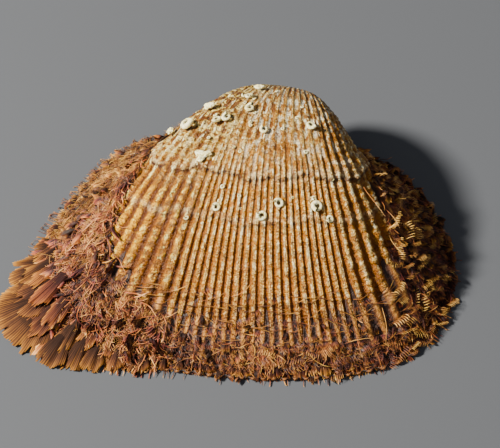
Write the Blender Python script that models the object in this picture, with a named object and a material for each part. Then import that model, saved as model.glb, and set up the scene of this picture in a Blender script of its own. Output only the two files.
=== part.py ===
"""One valve of an ark clam, lying hollow side down, in metres with +Z up.

The valve is the surface that its growing edge sweeps: the edge shrinks towards the beak
and turns about the hinge as it goes back in time. Ribs, growth ledges and the flat rim
are part of the valve. The skin is the brown periostracum, a band of shaggy locks that
reaches past the free edge. Small coiled worm tubes and lumps of lime sit on the valve.
"""
import math

import bmesh
import bpy
import numpy as np
from mathutils import Matrix, Vector
from mathutils.bvhtree import BVHTree

MM = 0.001

# The valve's edge in plan, from the back end of the straight hinge round to its front end.
# X runs along the hinge towards the front of the animal, Y across it, and Z is up.
EDGE = [(-14.0, 0.0), (-19.8, -4.6), (-24.2, -12.3), (-26.7, -20.0), (-27.2, -26.5),
        (-24.4, -31.4), (-18.5, -34.2), (-9.0, -35.3), (2.0, -35.5), (12.0, -34.3),
        (19.5, -31.8), (24.3, -27.5), (26.8, -20.5), (25.7, -12.7), (22.0, -6.2), (16.0, 0.0)]

# How the valve grew: age runs from 0 at the beak to 1 at the edge.
BEAK = (-1.0, 1.5, 6.3)       # where the edge shrinks to, in mm
TURN = 0.93                   # radians that the edge has turned for each unit of age
TURN_SPEED_UP = 1.55          # how much faster it turns near the beak
LEAN = 6.0                    # how far the beak leans forward along the hinge, in mm
LEAN_POWER = 3.0
BACK_POWER = 1.2              # the back half grew a little later than the front half
TIP_AGE = 0.05                # the beak is rounded off here

# Ribs. Each row is a place round the edge, from 0 to 1, and the ribs' spacing there.
RIB_SPACING = [(0.00, 0.020), (0.20, 0.0220), (0.41, 0.0215), (0.44, 0.0118), (0.655, 0.0112),
               (0.68, 0.0175), (0.72, 0.0220), (0.76, 0.0280), (0.84, 0.0250), (1.00, 0.0180)]
RIB_STEEPNESS = 0.22          # a rib's height as a share of the spacing there

# Growth ledges: age, height in mm. The shell steps inwards just past each one.
LEDGES = [(0.545, 0.30), (0.645, 0.18), (0.82, 0.16)]
LEDGE_RISE = 0.06             # age over which a ledge rises
LEDGE_STEP = 0.012            # age over which it drops
RELIEF_FADE = 0.03            # share of the edge over which ribs and ledges fade at the hinge
AGES = [1.0, 0.94, 0.88, 0.74, 0.60, 0.46, 0.35, 0.24, 0.14]

# The hollow
RIM = 1.6                     # width of the flat rim
HINGE_PLATE = 3.0             # width of the plate that carries the teeth
HINGE_STEPS = 10
WALL = 2.3                    # thickness of the wall, measured upwards
HOLLOW_MIDDLE = (1.0, -17.0)
HOLLOW_RINGS = [1.0, 0.97, 0.93, 0.88, 0.82, 0.70, 0.50, 0.25]
WALL_BLEND = 0.18             # share of the way in over which the wall gets its thickness
COARSE = 3                    # edge steps to one step of the hollow

# Hinge teeth: sockets cut up into the hinge plate, small in the middle, slanted at the ends
TEETH = 34
TEETH_FROM, TEETH_TO = -13.0, 14.5
TOOTH_SLANT = math.radians(28)
SOCKET = (0.42, 1.7, 0.7)     # width, length and depth of a socket in the middle
SOCKET_END_GROWTH = 0.35      # how much longer the sockets are at the ends
SOCKET_MIDDLE_Y = -1.75

# The skin
GAP = 0.3                     # between pieces that touch
SKIN_FROM, SKIN_TO = 0.012, 0.985
SKIN_TOP = [(0.00, 0.30), (0.15, 0.36), (0.23, 0.49), (0.27, 0.60), (0.29, 0.70), (0.31, 0.78),
            (0.34, 0.83), (0.40, 0.87), (0.50, 0.88), (0.60, 0.87), (0.68, 0.83), (0.735, 0.77),
            (0.76, 0.70), (0.79, 0.55), (0.85, 0.50), (1.00, 0.45)]
SKIN_TIERS = 4
SKIN_THIN, SKIN_THICK = 0.35, 1.05
SKIN_TIER_STEP = 0.015
SKIN_INNER_ROWS = 5
LOCK_NOTCH = 0.5              # thickness and length between two locks, as a share of a lock
LOCK_CUT = 0.06               # how far the notch between two locks runs up a tier
FRINGE = [(0.00, 0.3), (0.18, 0.35), (0.22, 1.2), (0.25, 3.4), (0.28, 5.3), (0.31, 5.1),
          (0.34, 3.5), (0.37, 2.1), (0.41, 1.2), (0.45, 0.5), (0.70, 0.4), (0.75, 0.5),
          (0.79, 0.8), (0.85, 0.4), (1.00, 0.3)]
FRINGE_ROWS = [(0.25, 1.0), (0.60, 0.6), (1.00, 0.25)]    # share of the way out, thickness
FRINGE_UNEVEN = 0.14

# Worm tubes: place round the edge, age, width across the coil in mm
WORM_TUBES = [(0.319, 0.446, 2.3), (0.388, 0.425, 1.3), (0.415, 0.416, 1.4), (0.472, 0.381, 1.5),
              (0.445, 0.336, 1.3), (0.530, 0.440, 1.3), (0.646, 0.416, 1.5), (0.462, 0.625, 1.3),
              (0.544, 0.633, 1.6), (0.572, 0.606, 1.5), (0.639, 0.612, 1.8), (0.657, 0.640, 1.2)]
TUBE_SHARE = 0.36             # thickness of the tube as a share of the coil's width
# Lumps of lime: place, age, length, width and height in mm
LIME_LUMPS = [(0.400, 0.518, 1.9, 1.5, 0.8), (0.275, 0.473, 1.4, 1.1, 0.7),
              (0.459, 0.288, 1.5, 0.9, 0.6), (0.338, 0.385, 1.6, 1.2, 0.7)]

SHELL_COLOUR = (0.52, 0.30, 0.13, 1.0)
SKIN_COLOUR = (0.17, 0.065, 0.025, 1.0)
LIME_COLOUR = (0.82, 0.77, 0.66, 1.0)
SHARP = math.radians(40)      # faces that meet at more than this have a sharp edge


def clear_scene():
    for thing in list(bpy.data.objects):
        bpy.data.objects.remove(thing, do_unlink=True)


def material(name, colour, roughness):
    made = bpy.data.materials.new(name)
    made.use_nodes = True
    shader = made.node_tree.nodes["Principled BSDF"]
    shader.inputs["Base Color"].default_value = colour
    shader.inputs["Roughness"].default_value = roughness
    shader.inputs["Metallic"].default_value = 0.0
    return made


def add_piece(name, points, faces, finish):
    """A named object from points in mm and faces, shaded smooth up to a sharp angle."""
    mesh = bpy.data.meshes.new(name)
    mesh.from_pydata([tuple(p * MM for p in point) for point in points], [], faces)
    tidy = bmesh.new()
    tidy.from_mesh(mesh)
    bmesh.ops.recalc_face_normals(tidy, faces=tidy.faces)
    tidy.to_mesh(mesh)
    tidy.free()
    mesh.materials.append(finish)
    piece = bpy.data.objects.new(name, mesh)
    bpy.context.scene.collection.objects.link(piece)
    mesh.shade_smooth()
    mesh.set_sharp_from_angle(angle=SHARP)
    return piece


def read_off(rows, place):
    """Value at a place from rows of (place, value), joined by straight lines."""
    return np.interp(place, [row[0] for row in rows], [row[1] for row in rows])


def smooth_line(points, steps):
    """A Catmull-Rom curve through the points, with even steps along its length."""
    points = np.array(points, float)
    padded = np.vstack([points[:1], points, points[-1:]])
    share = np.linspace(0, 1, 24, endpoint=False)[:, None]
    spans = []
    for a, b, c, d in zip(padded, padded[1:], padded[2:], padded[3:]):
        spans.append(0.5 * (2 * b + (c - a) * share + (2 * a - 5 * b + 4 * c - d) * share ** 2
                            + (3 * b - a - 3 * c + d) * share ** 3))
    line = np.vstack(spans + [points[-1:]])
    along = np.concatenate([[0], np.cumsum(np.linalg.norm(np.diff(line, axis=0), axis=1))])
    even = np.linspace(0, along[-1], steps)
    return np.stack([np.interp(even, along, line[:, axis]) for axis in (0, 1)], axis=1)


EDGE_LINE = smooth_line(EDGE, 1601)
EDGE_LENGTH = np.linalg.norm(np.diff(EDGE_LINE, axis=0), axis=1).sum()


def edge_point(place):
    """Plan point of the edge at a place from 0 to 1."""
    share = np.linspace(0, 1, len(EDGE_LINE))
    return np.stack([np.interp(place, share, EDGE_LINE[:, axis]) for axis in (0, 1)], axis=-1)


def edge_outwards(place):
    """Unit vector in plan that points out of the edge."""
    along = edge_point(np.minimum(place + 0.01, 1.0)) - edge_point(np.maximum(place - 0.01, 0.0))
    out = np.stack([along[..., 1], -along[..., 0]], axis=-1)
    return out / np.linalg.norm(out, axis=-1, keepdims=True)


def grown(plan, age):
    """Where the plan point of the edge was when the valve had the given age."""
    age = np.asarray(age, float)
    young = 1 - age
    turn = TURN * young * (1 + TURN_SPEED_UP * young)
    away_x = plan[..., 0] - BEAK[0]
    away_y = plan[..., 1] - BEAK[1]
    reach_x = np.where(away_x < 0, age ** BACK_POWER, age)
    x = BEAK[0] + reach_x * away_x + LEAN * young ** LEAN_POWER
    y = BEAK[1] + age * (away_y * np.cos(turn) - BEAK[2] * np.sin(turn))
    z = BEAK[2] - age * (away_y * np.sin(turn) + BEAK[2] * np.cos(turn))
    return np.stack([x, y, z], axis=-1)


def shell_normal(place, age):
    """Unit vector out of the valve."""
    place = np.asarray(place, float)
    age = np.asarray(age, float)
    low, high = np.maximum(place - 0.004, 0.0), np.minimum(place + 0.004, 1.0)
    along = grown(edge_point(high), age) - grown(edge_point(low), age)
    growth = grown(edge_point(place), np.minimum(age + 0.004, 1.02)) \
        - grown(edge_point(place), age - 0.004)
    out = np.cross(growth, along)
    return out / np.linalg.norm(out, axis=-1, keepdims=True)


def rib_places():
    """Crests and valleys round the edge: even entries are valleys, odd ones crests."""
    fine = np.linspace(0, 1, 4001)
    count = np.concatenate([[0], np.cumsum(np.diff(fine) / read_off(RIB_SPACING, fine[1:]))])
    ribs = round(count[-1])
    return np.interp(np.linspace(0, count[-1], 2 * ribs + 1), count, fine)


def rib_height(place, age):
    """Height of the ribs' crests, in mm, where the ribs are this far apart."""
    return RIB_STEEPNESS * read_off(RIB_SPACING, place) * EDGE_LENGTH * age


def ledge_height(age):
    """Height added by the growth ledges at one age."""
    height = 0.0
    for ledge_age, size in LEDGES:
        if ledge_age - LEDGE_RISE < age <= ledge_age:
            height = size * (1 - (ledge_age - age) / LEDGE_RISE)
    return height


def valve_ages():
    """Ages of the valve's rows, with two rows at each ledge, oldest shell last."""
    ages = list(AGES) + [TIP_AGE]
    for ledge_age, size in LEDGES:
        ages += [ledge_age, ledge_age + LEDGE_STEP]
    return sorted(ages, reverse=True)


def hinge_plan(steps):
    """Plan points of the straight hinge, from its front end to its back end, ends left out."""
    share = np.linspace(0, 1, steps + 1)[1:-1, None]
    return np.array(EDGE[-1]) * (1 - share) + np.array(EDGE[0]) * share


def outer_rows(places, hinge, relief):
    """Closed rings of the outer surface, one for each age. Relief 0 leaves it bare."""
    rows = []
    is_crest = np.arange(len(places)) % 2
    for age in valve_ages():
        lift = relief * (is_crest * rib_height(places, age) + ledge_height(age))
        fade = np.minimum(1, np.minimum(places, 1 - places) / RELIEF_FADE)
        if age == 1.0:
            out = np.pad(edge_outwards(places), ((0, 0), (0, 1)))
        else:
            out = shell_normal(places, age)
        free = grown(edge_point(places), age) + out * (lift * fade)[:, None]
        rows.append(np.vstack([free, grown(hinge, age)]))
    return rows


def height_above(points, faces):
    """A function that gives the height of the outer surface over a plan point."""
    tree = BVHTree.FromPolygons([Vector(p) for p in points], faces)

    def height(plan):
        hit = tree.ray_cast(Vector((plan[0], plan[1], -1.0)), Vector((0, 0, 1)))
        return hit[0].z
    return height


def hollow_rim(places, hinge):
    """Plan points of the hollow's mouth, one for each coarse step round the valve."""
    free = edge_point(places) - edge_outwards(places) * RIM
    loop = np.vstack([free, hinge])
    loop[:, 1] = np.minimum(loop[:, 1], -HINGE_PLATE)
    return loop[::COARSE]


def hollow_rows(rim, height):
    """Rings of the hollow from its mouth to its middle."""
    middle = np.array(HOLLOW_MIDDLE)
    mouth_heights = np.array([height(plan) for plan in rim])
    rows = []
    for ring in HOLLOW_RINGS:
        plan = middle + (rim - middle) * ring
        share = min(1.0, (1 - ring) / WALL_BLEND)
        blend = share * share * (3 - 2 * share)
        thick = mouth_heights * (1 - blend) + WALL * blend
        z = np.array([height(p) for p in plan]) - thick
        rows.append(np.column_stack([plan, np.zeros(len(plan)) if ring == 1.0 else z]))
    return rows


def ring_faces(first, second, count):
    """Quads between two closed rings whose points start at these numbers."""
    return [(first + i, first + (i + 1) % count, second + (i + 1) % count, second + i)
            for i in range(count)]


def build_valve(places, finish):
    steps = HINGE_STEPS + (-(len(places) - 1 + HINGE_STEPS)) % COARSE
    hinge = hinge_plan(steps)
    outer = outer_rows(places, hinge, 1.0)
    bare = [point for row in outer_rows(places, hinge, 0.0) for point in row]
    around = len(outer[0])
    points = [point for row in outer for point in row]
    faces = []
    for k in range(len(outer) - 1):
        faces += ring_faces(k * around, (k + 1) * around, around)
    tip = len(points)
    points.append(outer[-1].mean(axis=0))
    bare.append(points[-1])
    last = (len(outer) - 1) * around
    faces += [(last + i, last + (i + 1) % around, tip) for i in range(around)]

    rim = hollow_rim(places, hinge)
    inner = hollow_rows(rim, height_above(bare, faces))
    start, count = len(points), len(rim)
    for row in inner:
        points += list(row)
    for i in range(count):
        wide = [(i * COARSE + j) % around for j in range(COARSE + 1)]
        faces.append(tuple(wide) + (start + (i + 1) % count, start + i))
    for k in range(len(inner) - 1):
        faces += ring_faces(start + k * count, start + (k + 1) * count, count)
    last = start + (len(inner) - 1) * count
    top = len(points)
    points.append(inner[-1].mean(axis=0))
    faces += [(last + i, last + (i + 1) % count, top) for i in range(count)]
    return add_piece("valve", points, faces, finish)


def cut_hinge_teeth(valve, middle):
    """Sockets between the hinge teeth, cut up into the flat hinge plate."""
    sockets = bmesh.new()
    for i in range(TEETH):
        share = i / (TEETH - 1)
        x = TEETH_FROM + (TEETH_TO - TEETH_FROM) * share
        side = 2 * share - 1
        width, length, depth = SOCKET
        length *= 1 + SOCKET_END_GROWTH * side * side
        place = Matrix.Translation(Vector((x - middle[0], SOCKET_MIDDLE_Y - middle[1], 0.0)) * MM)
        turn = Matrix.Rotation(TOOTH_SLANT * side, 4, "Z")
        size = Matrix.Diagonal(Vector((width, length, 2 * depth, 1000.0)) * MM)
        bmesh.ops.create_cube(sockets, size=1.0, matrix=place @ turn @ size)
    mesh = bpy.data.meshes.new("hinge_sockets")
    sockets.to_mesh(mesh)
    sockets.free()
    cutter = bpy.data.objects.new("hinge_sockets", mesh)
    bpy.context.scene.collection.objects.link(cutter)
    cutter.hide_render = True
    cutter.display_type = "WIRE"
    cut = valve.modifiers.new("hinge teeth", "BOOLEAN")
    cut.operation = "DIFFERENCE"
    cut.solver = "EXACT"
    cut.object = cutter


def skin_offset(place, age):
    """Distance of the skin's inner face from the bare surface: clear of ribs and ledges."""
    return rib_height(place, age) + max(height for ledge_age, height in LEDGES) + GAP


def uneven(index, size):
    """A fixed uneven factor about 1 for the lock with this number."""
    return 1 + size * math.sin(2.4 * index) * math.cos(0.7 * index + 1.0)


def skin_section(place, is_crest, index):
    """Closed cross-section of the skin at one place: outer face down, then inner face up."""
    top = read_off(SKIN_TOP, place)
    notch = 1.0 if is_crest else LOCK_NOTCH
    out = np.append(edge_outwards(place), 0.0)
    edge = np.append(edge_point(place), 0.0)

    def at(share, thick):
        age = top + (1 - top) * share
        base = grown(edge_point(place), age)
        return base + shell_normal(place, age) * (skin_offset(place, age) + thick)

    section = []
    for tier in range(SKIN_TIERS):
        start, end = tier / SKIN_TIERS, (tier + 1) / SKIN_TIERS
        step = SKIN_TIER_STEP if tier else 0.0
        lip = SKIN_THIN + (SKIN_THICK - SKIN_THIN) * notch
        section.append(at(start + step, SKIN_THIN))
        if tier < SKIN_TIERS - 1:
            cut = 0.0 if is_crest else LOCK_CUT
            section.append(at(end - SKIN_TIER_STEP - cut, lip))

    hem = rib_height(place, 1.0) + GAP
    length = read_off(FRINGE, place) * notch * uneven(index, FRINGE_UNEVEN)
    for share, thick in FRINGE_ROWS:
        section.append(edge + out * (hem + length * share) + np.array([0, 0, GAP + thick]))
    section.append(edge + out * (hem + length) + np.array([0, 0, GAP]))
    section.append(edge + out * hem + np.array([0, 0, GAP]))
    for row in range(1, SKIN_INNER_ROWS + 1):
        section.append(at(1 - row / SKIN_INNER_ROWS, 0.0))
    return section


def build_skin(places, finish):
    inside = [(i, place) for i, place in enumerate(places) if SKIN_FROM < place < SKIN_TO]
    sections = [skin_section(place, i % 2 == 1, i) for i, place in inside]
    around = len(sections[0])
    points = [point for section in sections for point in section]
    faces = []
    for k in range(len(sections) - 1):
        faces += ring_faces(k * around, (k + 1) * around, around)
    faces.append(tuple(range(around)))
    faces.append(tuple(range(len(points) - around, len(points))))
    return add_piece("periostracum", points, faces, finish)


def stand_on_shell(place, age, lift, middle):
    """Matrix that stands a small piece on the rib crests, its Z out of the valve."""
    out = Vector(shell_normal(place, age))
    clear = rib_height(place, age) + GAP + lift
    base = Vector(grown(edge_point(place), age) + np.array(out) * clear)
    turn = out.to_track_quat("Z", "Y").to_matrix().to_4x4()
    base -= Vector((middle[0], middle[1], 0.0))
    return Matrix.Translation(base * MM) @ turn


def build_worm_tube(number, place, age, width, finish, middle):
    """A coiled worm tube as a plain ring."""
    tube = width * TUBE_SHARE / 2
    coil = width / 2 - tube
    points, faces = [], []
    turns, sides = 7, 5
    for i in range(turns):
        a = 2 * math.pi * i / turns
        for j in range(sides):
            b = 2 * math.pi * j / sides
            reach = coil + tube * math.cos(b)
            points.append((reach * math.cos(a), reach * math.sin(a), tube * math.sin(b)))
    for i in range(turns):
        faces += ring_faces(i * sides, (i + 1) % turns * sides, sides)
    piece = add_piece("worm_tube_%02d" % number, points, faces, finish)
    piece.matrix_world = stand_on_shell(place, age, tube, middle)


def build_lime_lump(number, place, age, length, width, height, finish, middle):
    lump = bmesh.new()
    bmesh.ops.create_icosphere(lump, subdivisions=2, radius=1.0)
    size = Matrix.Diagonal(Vector((length / 2, width / 2, height / 2)))
    bmesh.ops.transform(lump, matrix=size.to_4x4(), verts=lump.verts)
    points = [tuple(v.co) for v in lump.verts]
    faces = [tuple(v.index for v in face.verts) for face in lump.faces]
    lump.free()
    piece = add_piece("lime_lump_%02d" % number, points, faces, finish)
    piece.matrix_world = stand_on_shell(place, age, height / 2, middle)


def main():
    clear_scene()
    shell = material("shell", SHELL_COLOUR, 0.6)
    skin = material("skin", SKIN_COLOUR, 0.75)
    lime = material("lime", LIME_COLOUR, 0.7)
    places = rib_places()
    valve = build_valve(places, shell)
    periostracum = build_skin(places, skin)

    # The origin is put under the middle of the whole object, on the surface it lies on.
    corners = np.array([v.co for piece in (valve, periostracum) for v in piece.data.vertices])
    middle = (corners.min(axis=0) + corners.max(axis=0))[:2] / 2 / MM
    for piece in (valve, periostracum):
        piece.data.transform(Matrix.Translation((-middle[0] * MM, -middle[1] * MM, 0.0)))

    cut_hinge_teeth(valve, middle)
    for number, (place, age, width) in enumerate(WORM_TUBES, 1):
        build_worm_tube(number, place, age, width, lime, middle)
    for number, (place, age, length, width, height) in enumerate(LIME_LUMPS, 1):
        build_lime_lump(number, place, age, length, width, height, lime, middle)


main()
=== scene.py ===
"""An ark clam's valve with its shaggy brown skin, lying hollow side down."""
import math

import bmesh
import bpy
import numpy as np
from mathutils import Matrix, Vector, noise
from mathutils.bvhtree import BVHTree


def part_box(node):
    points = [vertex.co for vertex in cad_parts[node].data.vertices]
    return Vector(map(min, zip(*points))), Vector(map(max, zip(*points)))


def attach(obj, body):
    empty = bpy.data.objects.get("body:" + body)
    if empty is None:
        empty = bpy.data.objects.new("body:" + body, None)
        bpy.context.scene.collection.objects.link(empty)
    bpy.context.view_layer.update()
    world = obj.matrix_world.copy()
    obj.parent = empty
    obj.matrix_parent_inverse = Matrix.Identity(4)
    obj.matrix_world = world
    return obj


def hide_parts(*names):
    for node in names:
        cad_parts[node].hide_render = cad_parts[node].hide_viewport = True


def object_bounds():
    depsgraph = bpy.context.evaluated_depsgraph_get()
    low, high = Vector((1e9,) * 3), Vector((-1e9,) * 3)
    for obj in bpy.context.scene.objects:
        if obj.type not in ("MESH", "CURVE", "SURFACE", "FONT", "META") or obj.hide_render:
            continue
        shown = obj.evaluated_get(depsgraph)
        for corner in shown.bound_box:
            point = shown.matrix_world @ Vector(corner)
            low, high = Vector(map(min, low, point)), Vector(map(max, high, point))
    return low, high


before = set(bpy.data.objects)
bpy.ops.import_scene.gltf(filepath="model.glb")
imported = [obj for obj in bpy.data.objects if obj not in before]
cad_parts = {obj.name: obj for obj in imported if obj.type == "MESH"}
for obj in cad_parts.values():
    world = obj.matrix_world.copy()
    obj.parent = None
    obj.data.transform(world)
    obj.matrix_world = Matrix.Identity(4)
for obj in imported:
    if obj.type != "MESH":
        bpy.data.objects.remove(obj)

cad_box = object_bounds()
MM = 0.001

# Studio
# A pale matt table, a key light on the left, a weak fill from the front and a camera that
# looks down on the valve from in front of its free edge.
TABLE_HALF = 1.5                        # metres
TABLE_COLOUR = (0.067, 0.070, 0.081, 1.0)
TABLE_ROUGHNESS = 0.85
# Each lamp: name, azimuth and elevation in degrees, distance, size, power and colour
LAMPS = [("key", -77, 44, 0.55, 0.08, 11.8, (1.0, 0.975, 0.87)),
         ("fill", 10, 65, 0.70, 0.60, 0.6, (0.93, 0.96, 1.0))]
SKY_COLOUR = (0.90, 0.94, 1.0, 1.0)
SKY_STRENGTH = 0.19
CAMERA_AZIMUTH, CAMERA_ELEVATION = 6.0, 57.0
CAMERA_DISTANCE = 0.300
CAMERA_LENS = 162.0
AIM = (1.59, 3.43, 2.61)                # mm, about the middle of the valve

floor_mesh = bpy.data.meshes.new("table")
floor_mesh.from_pydata([(x * TABLE_HALF, y * TABLE_HALF, 0)
                        for x, y in ((-1, -1), (1, -1), (1, 1), (-1, 1))], [], [(0, 1, 2, 3)])
floor = bpy.data.objects.new("table", floor_mesh)
bpy.context.scene.collection.objects.link(floor)
table_paint = bpy.data.materials.new("table_paint")
table_paint.use_nodes = True
table_shader = table_paint.node_tree.nodes["Principled BSDF"]
table_shader.inputs["Base Color"].default_value = TABLE_COLOUR
table_shader.inputs["Roughness"].default_value = TABLE_ROUGHNESS
floor_mesh.materials.append(table_paint)


def direction(azimuth, elevation):
    """Unit vector from the valve towards a point at these angles, in degrees."""
    azimuth, elevation = math.radians(azimuth), math.radians(elevation)
    flat = math.cos(elevation)
    return Vector((math.sin(azimuth) * flat, -math.cos(azimuth) * flat, math.sin(elevation)))


for name, azimuth, elevation, distance, size, power, colour in LAMPS:
    lamp = bpy.data.lights.new(name, "AREA")
    lamp.shape = "DISK"
    lamp.size = size
    lamp.energy = power
    lamp.color = colour
    lamp_object = bpy.data.objects.new(name, lamp)
    towards = direction(azimuth, elevation)
    lamp_object.location = towards * distance
    lamp_object.rotation_euler = towards.to_track_quat("Z", "Y").to_euler()
    bpy.context.scene.collection.objects.link(lamp_object)

world = bpy.data.worlds.new("studio")
world.use_nodes = True
sky = world.node_tree.nodes["Background"]
sky.inputs["Color"].default_value = SKY_COLOUR
sky.inputs["Strength"].default_value = SKY_STRENGTH
bpy.context.scene.world = world

eye = direction(CAMERA_AZIMUTH, CAMERA_ELEVATION)
camera = bpy.data.objects.new("camera", bpy.data.cameras.new("camera"))
camera.data.lens = CAMERA_LENS
camera.data.sensor_width = 36.0
camera.data.clip_start = 0.01
camera.location = Vector(AIM) * MM + eye * CAMERA_DISTANCE
camera.rotation_euler = eye.to_track_quat("Z", "Y").to_euler()
bpy.context.scene.collection.objects.link(camera)
bpy.context.scene.camera = camera

# Valve
# One piece of lime that the animal laid down round its growing edge. Radial ribs with beads,
# growth ledges and an old, worn beak outside; smooth porcelain with hinge teeth inside.
# Plan points of its free edge in mm, from the back end of the hinge round to the front end
EDGE = [(-14.0, 0.0), (-19.8, -4.6), (-24.2, -12.3), (-26.7, -20.0), (-27.2, -26.5),
        (-24.4, -31.4), (-18.5, -34.2), (-9.0, -35.3), (2.0, -35.5), (12.0, -34.3),
        (19.5, -31.8), (24.3, -27.5), (26.8, -20.5), (25.7, -12.7), (22.0, -6.2), (16.0, 0.0)]
CURVE_STEPS = 24                        # between two of them
EDGE_STEPS = 1601
BEAK = (-1.0, 1.5, 6.3)                 # where growth starts
TURN = 0.93                             # radians that the edge turns back towards the beak
TURN_SPEED_UP = 1.55                    # and how much faster near the beak
LEAN = 6.0                              # mm that the beak leans to the front
LEAN_POWER = 3.0
BACK_POWER = 1.2                        # how late the back end grows long
TIP_AGE = 0.05                          # ages run from here to 1, the free edge
NUDGE = 0.004                           # of a place or an age, to measure a slope over
PAST_EDGE = 1.02                        # the oldest age that a slope is measured at
# Place round the edge, from 0 to 1, and the width of a rib there, as a share of the edge
RIB_SPACING = [(0.00, 0.020), (0.20, 0.0220), (0.41, 0.0215), (0.44, 0.0118), (0.655, 0.0112),
               (0.68, 0.0175), (0.72, 0.0220), (0.76, 0.0280), (0.84, 0.0250), (1.00, 0.0180)]
RIB_STEEPNESS = 0.24
RIB_STEPS = 8                           # mesh columns to one rib
GROWTH_STEPS = 186
COARSE_ROWS = 90                        # of the surface that heights are measured on
COARSE_COLUMNS = 4                      # mesh columns to one of its columns
# The three big growth ledges, which the solid has too: age and height in mm
LEDGES = [(0.545, 0.30), (0.645, 0.16), (0.82, 0.14)]
LEDGE_RISE = 0.06                       # how much growth a ledge rises over
LEDGE_DROP = 0.006                      # and drops over
LIP_WIDTH = 0.007                       # of the pale lip on a ledge
FINE_LEDGES = 26
FINE_LEDGE_HEIGHT = 0.07
FINE_LEDGE_RISE = 0.022
LEDGE_SEED = 11
# Dark lines where growth stopped: age and strength
DARK_LINES = [(0.30, 0.25), (0.405, 0.3), (0.549, 1.0), (0.60, 0.2), (0.648, 0.5), (0.72, 0.2),
              (0.765, 0.25), (0.823, 0.4), (0.87, 0.4), (0.92, 0.5)]
DARK_LINE_WIDTH = 0.0038
LEDGE_STRAY = 0.0055                    # how far, in age, a ledge strays from an even ring
FINE_STEPS = 700.0                      # radians of fine growth steps over the whole age
RELIEF_FADE = 0.03                      # of a place, over which the ribs end at the hinge
RIM = 1.6                               # mm, the width of the flat rim
HINGE_PLATE = 3.0                       # and of the hinge plate
HINGE_STEPS = 24
TEETH = 34
TEETH_FROM, TEETH_TO = -13.0, 14.5
TOOTH_SLANT = 0.5                       # how far the end teeth lean, in mm across per mm along
PLATE_COLUMNS = 9                       # plate columns to one hinge step
PLATE_ROWS = 9
PLATE_MARGIN = 0.06                     # of its width, outside the first and last row
SOCKET_DEPTH = 0.7
WALL = 2.3                              # mm, the thickness over the hollow
HOLLOW_MIDDLE = (1.0, -17.0)
HOLLOW_RINGS = 34
HOLLOW_BUNCHING = 1.5                   # how much closer its rings are near the rim
HOLLOW_REACH = 0.97
WALL_BLEND = 0.20                       # share of the way in over which the rim thins to it
# Muscle scars: middle in plan and half the length and width, in mm
SCARS = [(-17.5, -8.0, 5.0, 4.2), (19.0, -9.0, 4.2, 3.8)]
RIB_ROOM = 0.06                         # mm that the ribs add behind the beak
BOX_CLEAR = 0.02                        # mm that fibres keep inside the solid's box


def read_off(rows, place):
    """Value at a place from rows of (place, value), joined by straight lines."""
    return np.interp(place, [row[0] for row in rows], [row[1] for row in rows])


def smooth_line(points, steps):
    """A Catmull-Rom curve through the points, with even steps along its length."""
    points = np.array(points, float)
    padded = np.vstack([points[:1], points, points[-1:]])
    share = np.linspace(0, 1, CURVE_STEPS, endpoint=False)[:, None]
    spans = []
    for a, b, c, d in zip(padded, padded[1:], padded[2:], padded[3:]):
        spans.append(0.5 * (2 * b + (c - a) * share + (2 * a - 5 * b + 4 * c - d) * share ** 2
                            + (3 * b - a - 3 * c + d) * share ** 3))
    line = np.vstack(spans + [points[-1:]])
    along = np.concatenate([[0], np.cumsum(np.linalg.norm(np.diff(line, axis=0), axis=1))])
    even = np.linspace(0, along[-1], steps)
    return np.stack([np.interp(even, along, line[:, axis]) for axis in (0, 1)], axis=1)


EDGE_LINE = smooth_line(EDGE, EDGE_STEPS)
EDGE_LENGTH = np.linalg.norm(np.diff(EDGE_LINE, axis=0), axis=1).sum()


def edge_point(place):
    """Plan point of the edge at a place from 0, back end of the hinge, to 1, front end."""
    share = np.linspace(0, 1, len(EDGE_LINE))
    return np.stack([np.interp(place, share, EDGE_LINE[:, axis]) for axis in (0, 1)], axis=-1)


def edge_outwards(place):
    """Unit vector in plan, out of the edge at a place."""
    along = edge_point(np.minimum(place + 0.01, 1.0)) - edge_point(np.maximum(place - 0.01, 0.0))
    out = np.stack([along[..., 1], -along[..., 0]], axis=-1)
    return out / np.linalg.norm(out, axis=-1, keepdims=True)


def grown(plan, age):
    """Where the plan point of the edge was when the valve had the given age."""
    age = np.asarray(age, float)
    young = 1 - age
    turn = TURN * young * (1 + TURN_SPEED_UP * young)
    away_x = plan[..., 0] - BEAK[0]
    away_y = plan[..., 1] - BEAK[1]
    reach_x = np.where(away_x < 0, age ** BACK_POWER, age)
    x = BEAK[0] + reach_x * away_x + LEAN * young ** LEAN_POWER
    y = BEAK[1] + age * (away_y * np.cos(turn) - BEAK[2] * np.sin(turn))
    z = BEAK[2] - age * (away_y * np.sin(turn) + BEAK[2] * np.cos(turn))
    return np.stack([x, y, z], axis=-1)


def unit(vectors):
    """The vectors at length 1."""
    return vectors / np.linalg.norm(vectors, axis=-1, keepdims=True)


def shell_axes(place, age):
    """Unit vectors out of the valve, along its growth, and round it."""
    place = np.asarray(place, float)
    age = np.asarray(age, float)
    low, high = np.maximum(place - NUDGE, 0.0), np.minimum(place + NUDGE, 1.0)
    around = unit(grown(edge_point(high), age) - grown(edge_point(low), age))
    growth = unit(grown(edge_point(place), np.minimum(age + NUDGE, PAST_EDGE))
                  - grown(edge_point(place), age - NUDGE))
    return unit(np.cross(growth, around)), growth, around


def rib_counts():
    """Places round the edge, and the number of ribs up to each of them."""
    fine = np.linspace(0, 1, 4001)
    count = np.concatenate([[0], np.cumsum(np.diff(fine) / read_off(RIB_SPACING, fine[1:]))])
    return fine, count * round(count[-1]) / count[-1]


def rib_height(place, age):
    """Height in mm of a rib's crest over the bare valve."""
    return RIB_STEEPNESS * read_off(RIB_SPACING, place) * EDGE_LENGTH * age


def strayed(place, age):
    """The age that ledges and dark lines go by: they don't keep to an even ring."""
    return age + LEDGE_STRAY * (np.sin(place * 31 + 1) + 0.7 * np.sin(place * 83)
                                + 0.4 * np.sin(place * 190 + 2))


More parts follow.
